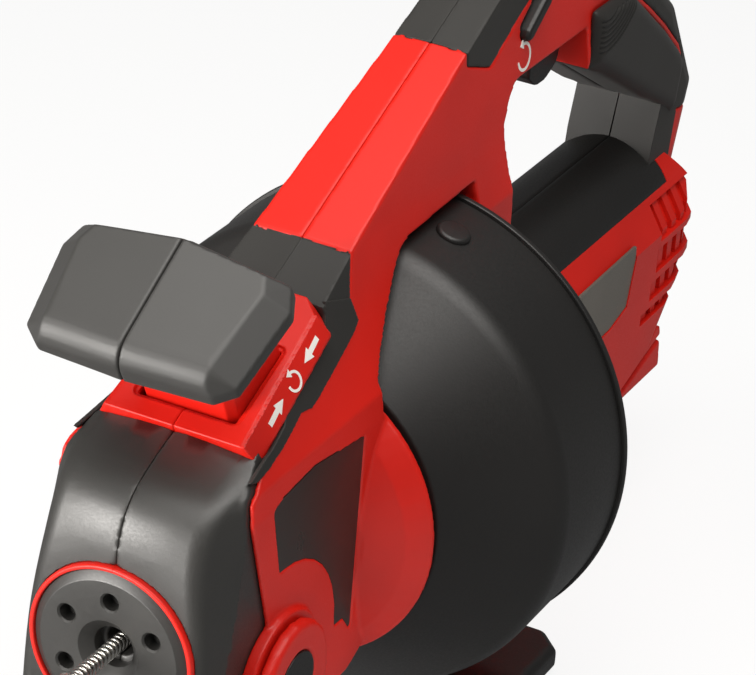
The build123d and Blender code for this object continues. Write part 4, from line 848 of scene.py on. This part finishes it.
class DRAIN_OT_feed_plate(bpy.types.Operator):
    """Rounds the feed plate's halves, the stem that passes through and the soft insert behind"""

    bl_idname = "drain.feed_plate"
    bl_label = "Feed plate and insert"

    def execute(self, context):
        crown = context.scene.drain_mould.crown

        def flank(co, facing):
            """Fills the plate's flank out over the snout's edge."""
            fill_mm = 0.8
            return co + facing * fill_mm * MM if facing.x > 0.75 else co

        pair("feed_plate", "half", formed(node_copy("feed_plate_right"), 0.5, 5, flank), "red")
        insert = formed(crowned(node_copy("spine_insert_right"), crown), 0.5, 8, sunk)
        pair("spine_insert", "soft", joined("insert", insert, formed(self.skirt(), 0.4, 4)), "grip")
        moulding("feed_stem_moulded", "feed_stem", "feed_lever", "red", 0.5, 5)
        self.print_signs()
        return {"FINISHED"}

    def skirt(self):
        """The insert's thin edge, which runs down between the plate and the neck to the snout."""
        out = Vector((0.93, 0, 0.37))
        under_mm = 1.4
        over_mm = 0.4
        upper_end_y = -156
        bm = bmesh.new()
        rows = []
        for beside, outer in SKIRT:
            outer = at(*outer)
            inner = at(*beside)
            reach = 6 if beside[1] > upper_end_y else 2.5
            inner += (inner - outer).normalized() * reach * MM
            low = [bm.verts.new(point - out * under_mm * MM) for point in (inner, outer)]
            high = [bm.verts.new(point + out * over_mm * MM) for point in (inner, outer)]
            rows.append([low[0], low[1], high[1], high[0]])
        return skinned(bm, rows)

    def print_signs(self):
        """Arrows for running the cable out, turning and back, printed on the plate's right flank."""
        normal = Vector((0.887, -0.143, 0.44)).normalized()
        along = Vector((-0.087, 0.881, 0.464))
        along = (along - normal * along.dot(normal)).normalized()
        out = printed([arrow(12, 5.2)], at(27.58, -137.5, 91.0), -along, normal)
        turn = printed(turn_arrow(3.5, 1.05, 165, 435), at(28.62, -150.64, 84.62), along, normal)
        back = printed([arrow(12, 5.2)], at(29.43, -164.27, 78.54), along, normal)
        add_piece("plate_signs", joined("plate_signs", out, turn, back), "tool", "white")


# Half the paddle in mm, in its own slope: across, along from front to rear, and height from its top
PADDLE_TOP = [(0, -19.2, 0), (31, -17.4, 0), (36.3, 12.5, 0), (33.5, 19.5, 0), (0, 22.8, 0)]
PADDLE_RIM = [(34.5, -27, -9), (41.6, -21, -9), (45.4, 12.5, -8.5), (41.5, 21.8, -7.5), (0, 25.8, -5)]
PADDLE_LOW = [
    (0, -28.8, -14), (34.5, -27, -14), (41.6, -21, -14),
    (45.4, 12.5, -14), (41.5, 21.8, -14), (0, 25.8, -14),
]
PADDLE_BASE = [
    (0, -24, -19.2), (32, -22.5, -19.2), (37.5, -17, -19.2),
    (41, 12, -19.2), (38, 18, -19.2), (0, 21.5, -19.2),
]


class DRAIN_OT_paddle(bpy.types.Operator):
    """Forms the feed paddle's two soft halves with a rolled front edge and bevelled ends"""

    bl_idname = "drain.paddle"
    bl_label = "Feed paddle"

    def execute(self, context):
        paddle = context.scene.drain_paddle
        up = Vector((0, -sin(paddle.tilt), cos(paddle.tilt)))
        back = Vector((0, cos(paddle.tilt), sin(paddle.tilt)))
        roll = paddle.roll / MM
        points = PADDLE_TOP + PADDLE_RIM + PADDLE_LOW + PADDLE_BASE
        for i in range(1, 7):
            t = pi / 2 * i / 6
            drop = roll * (cos(t) - 1)
            points += [(x, front - roll * sin(t), drop) for x, front in ((0, -19.2), (32.5, -17.4))]
        bm = bmesh.new()
        for across, along, lift in points:
            fall = tan(paddle.roof) * across * (1 + lift / 19.2)
            spot = at(max(across, 0.05), -205, 134.2) + back * along * MM + up * (lift - fall) * MM
            bm.verts.new(spot)
        hull = bmesh.ops.convex_hull(bm, input=bm.verts)
        bmesh.ops.delete(bm, geom=hull["geom_interior"], context="VERTS")
        pair("paddle", "soft", formed(bm, 0.6, 10), "soft", "feed_lever")
        return {"FINISHED"}


class DRAIN_OT_body(bpy.types.Operator):
    """Rounds the two red body shells and sets the label panels in the cheeks"""

    bl_idname = "drain.body"
    bl_label = "Body shells"

    def execute(self, context):
        crown = context.scene.drain_mould.crown
        pair("body", "shell", formed(crowned(node_copy("body_right"), crown), 0.75, 6), "red")
        eased("cheek_label_films", "cheek_panels", "tool", "film", 0.25 * MM, 2)
        normal = Vector((0.9945, 0, 0.1045))
        sign = printed(turn_arrow(5.4, 1.3, 190, 455), at(17.74, 49.5, 138.5), BACKWARD, normal)
        add_piece("neck_sign", sign, "tool", "white")
        return {"FINISHED"}


# Circle that the grip's ribs follow, the radii that they lie between, and the width of a groove
RIB_CENTRE = at(0, 119.6, 159)
RIB_START = 26 * MM
RIB_END = 41 * MM
GROOVE = 0.45 * MM


class DRAIN_OT_handle_covers(bpy.types.Operator):
    """Forms the soft covers on the handle: neck cap, grip sides, back strip and the stalk's front"""

    bl_idname = "drain.handle_covers"
    bl_label = "Handle covers"

    def execute(self, context):
        mould = context.scene.drain_mould

        def ribbed(co, turn):
            """Sinks the grooves between the ribs, which run round the trigger's pivot, into the grip."""
            away = hypot(co.y - RIB_CENTRE.y, co.z - RIB_CENTRE.z)
            if turn.x < 0.8 or not RIB_START < away < RIB_END + mould.rib_pitch / 2:
                return co
            share = (RIB_END - away) / mould.rib_pitch
            off = (share - round(share)) * mould.rib_pitch / GROOVE
            return co - turn * mould.rib_depth * exp(-off * off)

        cap = formed(crowned(node_copy("neck_cap_right"), mould.crown), 0.6, 12, sunk)
        pair("neck_cap", "soft", cap, "grip")
        pair("grip_pad", "soft", formed(node_copy("grip_pad_right"), 0.55, 110, ribbed), "grip")
        moulding("back_strip_soft", "back_pad", "tool", "grip", 0.8, 12)
        outline = [(191, 36), (192.8, 47.8), (202.6, 80), (214.5, 74), (217.5, 56), (214, 36)]
        slit = box_mesh(at(-0.2, 185, 30), at(0.2, 201.5, 90))
        cover = cut_away(to_mesh(bar_across(outline, 20.3), "stalk"), slit)
        cover = finished(cover, mould.edge / 2)
        add_piece("stalk_front_cover", cover, "tool", "grip", "stalk_cover", slot="charcoal_shell")
        return {"FINISHED"}


class DRAIN_OT_controls(bpy.types.Operator):
    """Rounds the trigger and the direction slider"""

    bl_idname = "drain.controls"
    bl_label = "Trigger and slider"

    def execute(self, context):
        moulding("trigger_moulded", "trigger", "trigger", "black", 0.5, 8)
        bm = node_copy("direction_slider")
        low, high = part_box("direction_slider")
        middle = (low + high) / 2
        slope = Vector((0, cos(radians(35)), sin(radians(35))))
        for vert in bm.verts:
            off = vert.co - middle
            run = slope * off.dot(slope)
            flat = RIGHT * off.x
            vert.co = middle + run + flat * 0.8 + (off - run - flat) * 0.7
        bar = finished(to_mesh(bm, "bar"), context.scene.drain_mould.edge)
        add_piece("direction_slider_bar", bar, "direction_slider", "black", "direction_slider")
        return {"FINISHED"}


class DRAIN_OT_drum(bpy.types.Operator):
    """Turns the drum's shell with its lugs and the rear cover with its thin lip"""

    bl_idname = "drain.drum"
    bl_label = "Drum"

    def execute(self, context):
        drum = context.scene.drain_drum
        rear, _, lip = round_size("drum_cover")
        outside = drum.radius / MM
        inside = outside - 3
        shoulder = drum.shoulder / MM
        line = [(-3, inside), (-3, outside), (-56, outside), (-91.5, 63), (-91.5, 18.2)]
        line += [(-88.5, 18.2), (-88.5, 61.5), (-54.5, inside), (-3, inside)]
        wall = rounded_line(line, [0, 0.5, shoulder, 2, 0, 0, 1, shoulder - 3, 0], 12)[:-1]
        shell = turned("shell", wall, drum.sides, rear, BACKWARD)
        shell = finished(joined("drum_shell_turned", shell, self.lugs(outside)))
        add_piece("drum_shell_turned", shell, "drum", "black", "drum_shell")
        line = [(0, 0), (0, 40), (-0.8, 41), (-0.8, 62), (0, 63), (0, lip), (-3, lip), (-3, 0)]
        profile = rounded_line(line, [0, 0.5, 0.5, 0.5, 0.5, 0.9, 0.7, 0], 5)
        cover = finished(turned("drum_cover_turned", profile, drum.sides, rear, BACKWARD))
        add_piece("drum_cover_turned", cover, "drum", "black", "drum_cover")
        return {"FINISHED"}

    def lugs(self, outside):
        """Three low rounded lugs round the drum's wall, from one lug."""
        profile = [(-2, 0)] + rounded_line([(-2, 7), (1.9, 7), (1.9, 0)], [0, 1.6, 0], 5)
        holder = bpy.data.objects.new("one_lug", turned("lug", profile, 40, ORIGIN, UP))

        def spread(tree, given):
            """The lug on each point of a circle, square to the wall."""
            size = [("Resolution", given["Count"]), ("Radius", given["Circle radius"])]
            circle = add_node(tree, "GeometryNodeCurvePrimitiveCircle", links=size)
            line = [("Curve", circle.outputs["Curve"])]
            points = add_node(tree, "GeometryNodeCurveToPoints", links=line, mode="EVALUATED")
            shape = add_node(tree, "GeometryNodeObjectInfo", {"Object": holder})
            out = [("Vector", add_node(tree, "GeometryNodeInputPosition").outputs["Position"])]
            facing = add_node(tree, "FunctionNodeAlignRotationToVector", links=out, axis="Z")
            spots = [
                ("Points", points.outputs["Points"]),
                ("Instance", shape.outputs["Geometry"]),
                ("Rotation", facing.outputs["Rotation"]),
            ]
            lugs = add_node(tree, "GeometryNodeInstanceOnPoints", links=spots)
            turn = [("Geometry", lugs.outputs["Instances"]), ("Rotation", given["First turn"])]
            stand = add_node(tree, "GeometryNodeTransform", {"Translation": at(0, -27, 0)}, turn)
            return stand.outputs["Geometry"]

        first = (pi / 2, radians(-73), 0)
        values = {"Count": 3, "Circle radius": outside * MM, "First turn": first}
        mesh = grown("lug_circle", values, spread, "black")
        bpy.data.objects.remove(holder)
        return mesh


class DRAIN_OT_motor_end(bpy.types.Operator):
    """Rounds the motor housing, its top covers and side plates, and the battery shoe"""

    bl_idname = "drain.motor_end"
    bl_label = "Motor end"

    def execute(self, context):
        edge = context.scene.drain_mould.edge / 2
        for node in ("housing_right", "housing_left"):
            eased(node + "_shell", node, "tool", "red", edge, 2)
        pair("top_cover", "half", formed(node_copy("top_cover_right"), 0.6, 5), "black")
        eased("motor_side_plates", "side_plates", "tool", "panel", edge, 2)
        moulding("battery_shoe_rail", "battery_shoe", "tool", "red", 0.9, 3)
        return {"FINISHED"}


class DRAIN_OT_feet(bpy.types.Operator):
    """Rounds the front leg with its pins, the rear foot and the treads"""

    bl_idname = "drain.feet"
    bl_label = "Feet"

    def execute(self, context):
        edge = context.scene.drain_mould.edge
        moulding("front_leg_yoke", "front_leg", "front_leg", "red", 1.1, 4)
        eased("leg_tread_soft", "leg_tread", "front_leg", "tread", edge * 0.6)
        moulding("rear_foot_moulded", "rear_foot", "tool", "black", 1.1, 3)
        eased("foot_tread_pads", "foot_treads", "tool", "tread", edge * 0.6)
        eased("pivot_pin_caps", "pivot_pins", "tool", "black", edge * 0.5)
        return {"FINISHED"}


class DRAIN_OT_works(bpy.types.Operator):
    """Gives the drive, the rollers and the stored cable inside their finishes"""

    bl_idname = "drain.works"
    bl_label = "Works inside"

    def execute(self, context):
        rollers = ["pressure_roller", "support_roller_right", "support_roller_left"]
        axles = ["pressure_axle", "support_axles"]
        gears = ["planet_gear_1", "planet_gear_2", "planet_gear_3", "ring_gear", "planet_carrier"]
        drive = ["motor_can", "motor_shaft", "front_bearing", "rear_bearing"]
        inside = {
            "steel": rollers + axles + gears + drive,
            "spring": ["cable_coil", "cable_lead"],
            "black": ["switch_module", "roller_cradle"],
            "nylon": ["cooling_fan"],
            "alloy": ["drum_hub"],
            "brass": ["battery_terminals"],
        }
        for finish, nodes in inside.items():
            for node in nodes:
                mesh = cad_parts[node].data
                mesh.materials.clear()
                mesh.materials.append(finishes[finish])
        return {"FINISHED"}


class DRAIN_OT_stage(bpy.types.Operator):
    """Lays the pale floor, hangs the soft boxes and sets the camera"""

    bl_idname = "drain.stage"
    bl_label = "Stage"

    def execute(self, context):
        stage = context.scene.drain_stage
        context.scene.view_settings.view_transform = "Standard"
        self.lay_floor()
        self.light(stage)
        self.set_camera(stage)
        return {"FINISHED"}

    def lay_floor(self):
        """A wide plain floor, white to the camera with its soft shadow; reflections see it as a painted dim
        glow.
        """
        bm = bmesh.new()
        bmesh.ops.create_grid(bm, x_segments=2, y_segments=2, size=6.0)
        floor = linked("floor", to_mesh(bm, "floor"))
        paper = {"Base Color": linear("#f9f9f8"), "Roughness": 0.9, "Specular IOR Level": 0.1}
        material, tree, shader = new_material("paper_sweep_white", paper)
        path = add_node(tree, "ShaderNodeLightPath")
        seen = [(0, path.outputs["Is Camera Ray"])]
        share = add_node(tree, "ShaderNodeMath", {1: 0.85}, seen, operation="MULTIPLY")
        glow = add_node(tree, "ShaderNodeEmission", {"Color": linear("#ffffff"), "Strength": 1.0})
        parts = [("Fac", share.outputs["Value"]), (1, shader.outputs["BSDF"]), (2, glow.outputs["Emission"])]
        pale = add_node(tree, "ShaderNodeMixShader", links=parts)
        # Painted reflection: glossy rays see the floor as an even dim glow instead of the lit floor.
        painted_reflection_glow = add_node(tree, "ShaderNodeEmission", {"Color": linear("#ffffff"), "Strength": 0.2})
        mirrored = path.outputs["Is Glossy Ray"]
        parts = [("Fac", mirrored), (1, pale.outputs["Shader"]), (2, painted_reflection_glow.outputs["Emission"])]
        mixed = add_node(tree, "ShaderNodeMixShader", links=parts)
        output = next(n for n in tree.nodes if n.type == "OUTPUT_MATERIAL")
        tree.links.new(mixed.outputs["Shader"], output.inputs["Surface"])
        floor.data.materials.append(material)

    def light(self, stage):
        """An even pale world with one soft box overhead and one in front."""
        world = bpy.data.worlds.new("studio")
        bpy.context.scene.world = world
        world.use_nodes = True
        tree = world.node_tree
        tree.nodes.clear()
        sky = add_node(tree, "ShaderNodeBackground", {"Color": linear("#f6f7f8"), "Strength": 0.12})
        add_node(tree, "ShaderNodeOutputWorld", links=[("Surface", sky.outputs["Background"])])
        boxes = (
            ("overhead_box", at(200, -250, 1150), at(0, -80, 60), 1.2, stage.overhead),
            ("front_box", at(-600, -1250, 200), at(0, -120, 20), 0.8, stage.front),
        )
        for name, place, target, size, power in boxes:
            lamp = bpy.data.lights.new(name, "AREA")
            lamp.shape = "SQUARE"
            lamp.size = size
            lamp.energy = power
            lamp.color = (1.0, 0.97, 0.93)
            box = linked(name, lamp)
            box.location = place
            box.rotation_mode = "QUATERNION"
            box.rotation_quaternion = (target - place).to_track_quat("-Z", "Y")

    def set_camera(self, stage):
        """A long lens at the fitted place, with its small roll."""
        a = stage.azimuth
        e = stage.elevation
        ahead = Vector((-sin(a) * cos(e), cos(a) * cos(e), -sin(e)))
        level = Vector((cos(a), sin(a), 0))
        upright = level.cross(ahead)
        right = level * cos(stage.roll) + upright * sin(stage.roll)
        top = -level * sin(stage.roll) + upright * cos(stage.roll)
        lens = bpy.data.cameras.new("camera")
        lens.sensor_fit = "HORIZONTAL"
        lens.sensor_width = 36.0
        lens.lens = stage.focal
        lens.clip_start = 0.05
        lens.clip_end = 50.0
        camera = linked("camera", lens)
        turn = Matrix((right, top, -ahead)).transposed()
        camera.rotation_mode = "QUATERNION"
        camera.rotation_quaternion = turn.to_quaternion()
        camera.location = at(525.63, -1123.15, 665.22)
        bpy.context.scene.camera = camera


class DRAIN_PT_sidebar(bpy.types.Panel):
    bl_idname = "DRAIN_PT_sidebar"
    bl_label = "Drain cleaner"
    bl_space_type = "VIEW_3D"
    bl_region_type = "UI"
    bl_category = "Drain cleaner"

    def draw(self, context):
        for settings in setting_groups:
            group = getattr(context.scene, settings)
            box = self.layout.box()
            for name in group.__annotations__:
                box.prop(group, name)
        for step in steps:
            self.layout.operator(step.bl_idname)


setting_groups = {
    "drain_drum": DrumSettings,
    "drain_cable": CableSettings,
    "drain_paddle": PaddleSettings,
    "drain_mould": MouldSettings,
    "drain_finish": FinishSettings,
    "drain_stage": StageSettings,
}
steps = (
    DRAIN_OT_stage,
    DRAIN_OT_spring_cable,
    DRAIN_OT_nose,
    DRAIN_OT_snout,
    DRAIN_OT_feed_plate,
    DRAIN_OT_paddle,
    DRAIN_OT_body,
    DRAIN_OT_handle_covers,
    DRAIN_OT_controls,
    DRAIN_OT_drum,
    DRAIN_OT_motor_end,
    DRAIN_OT_feet,
    DRAIN_OT_works,
)


def register():
    for settings in setting_groups.values():
        bpy.utils.register_class(settings)
    for name, settings in setting_groups.items():
        setattr(bpy.types.Scene, name, PointerProperty(type=settings))
    for step in steps:
        bpy.utils.register_class(step)
    bpy.utils.register_class(DRAIN_PT_sidebar)


def unregister():
    bpy.utils.unregister_class(DRAIN_PT_sidebar)
    for step in reversed(steps):
        bpy.utils.unregister_class(step)
    for name in setting_groups:
        delattr(bpy.types.Scene, name)
    for settings in setting_groups.values():
        bpy.utils.unregister_class(settings)


def main():
    register()
    make_finishes()
    bpy.ops.drain.stage()
    bpy.ops.drain.spring_cable()
    bpy.ops.drain.nose()
    bpy.ops.drain.snout()
    bpy.ops.drain.feed_plate()
    bpy.ops.drain.paddle()
    bpy.ops.drain.body()
    bpy.ops.drain.handle_covers()
    bpy.ops.drain.controls()
    bpy.ops.drain.drum()
    bpy.ops.drain.motor_end()
    bpy.ops.drain.feet()
    bpy.ops.drain.works()


if __name__ == "__main__":
    main()
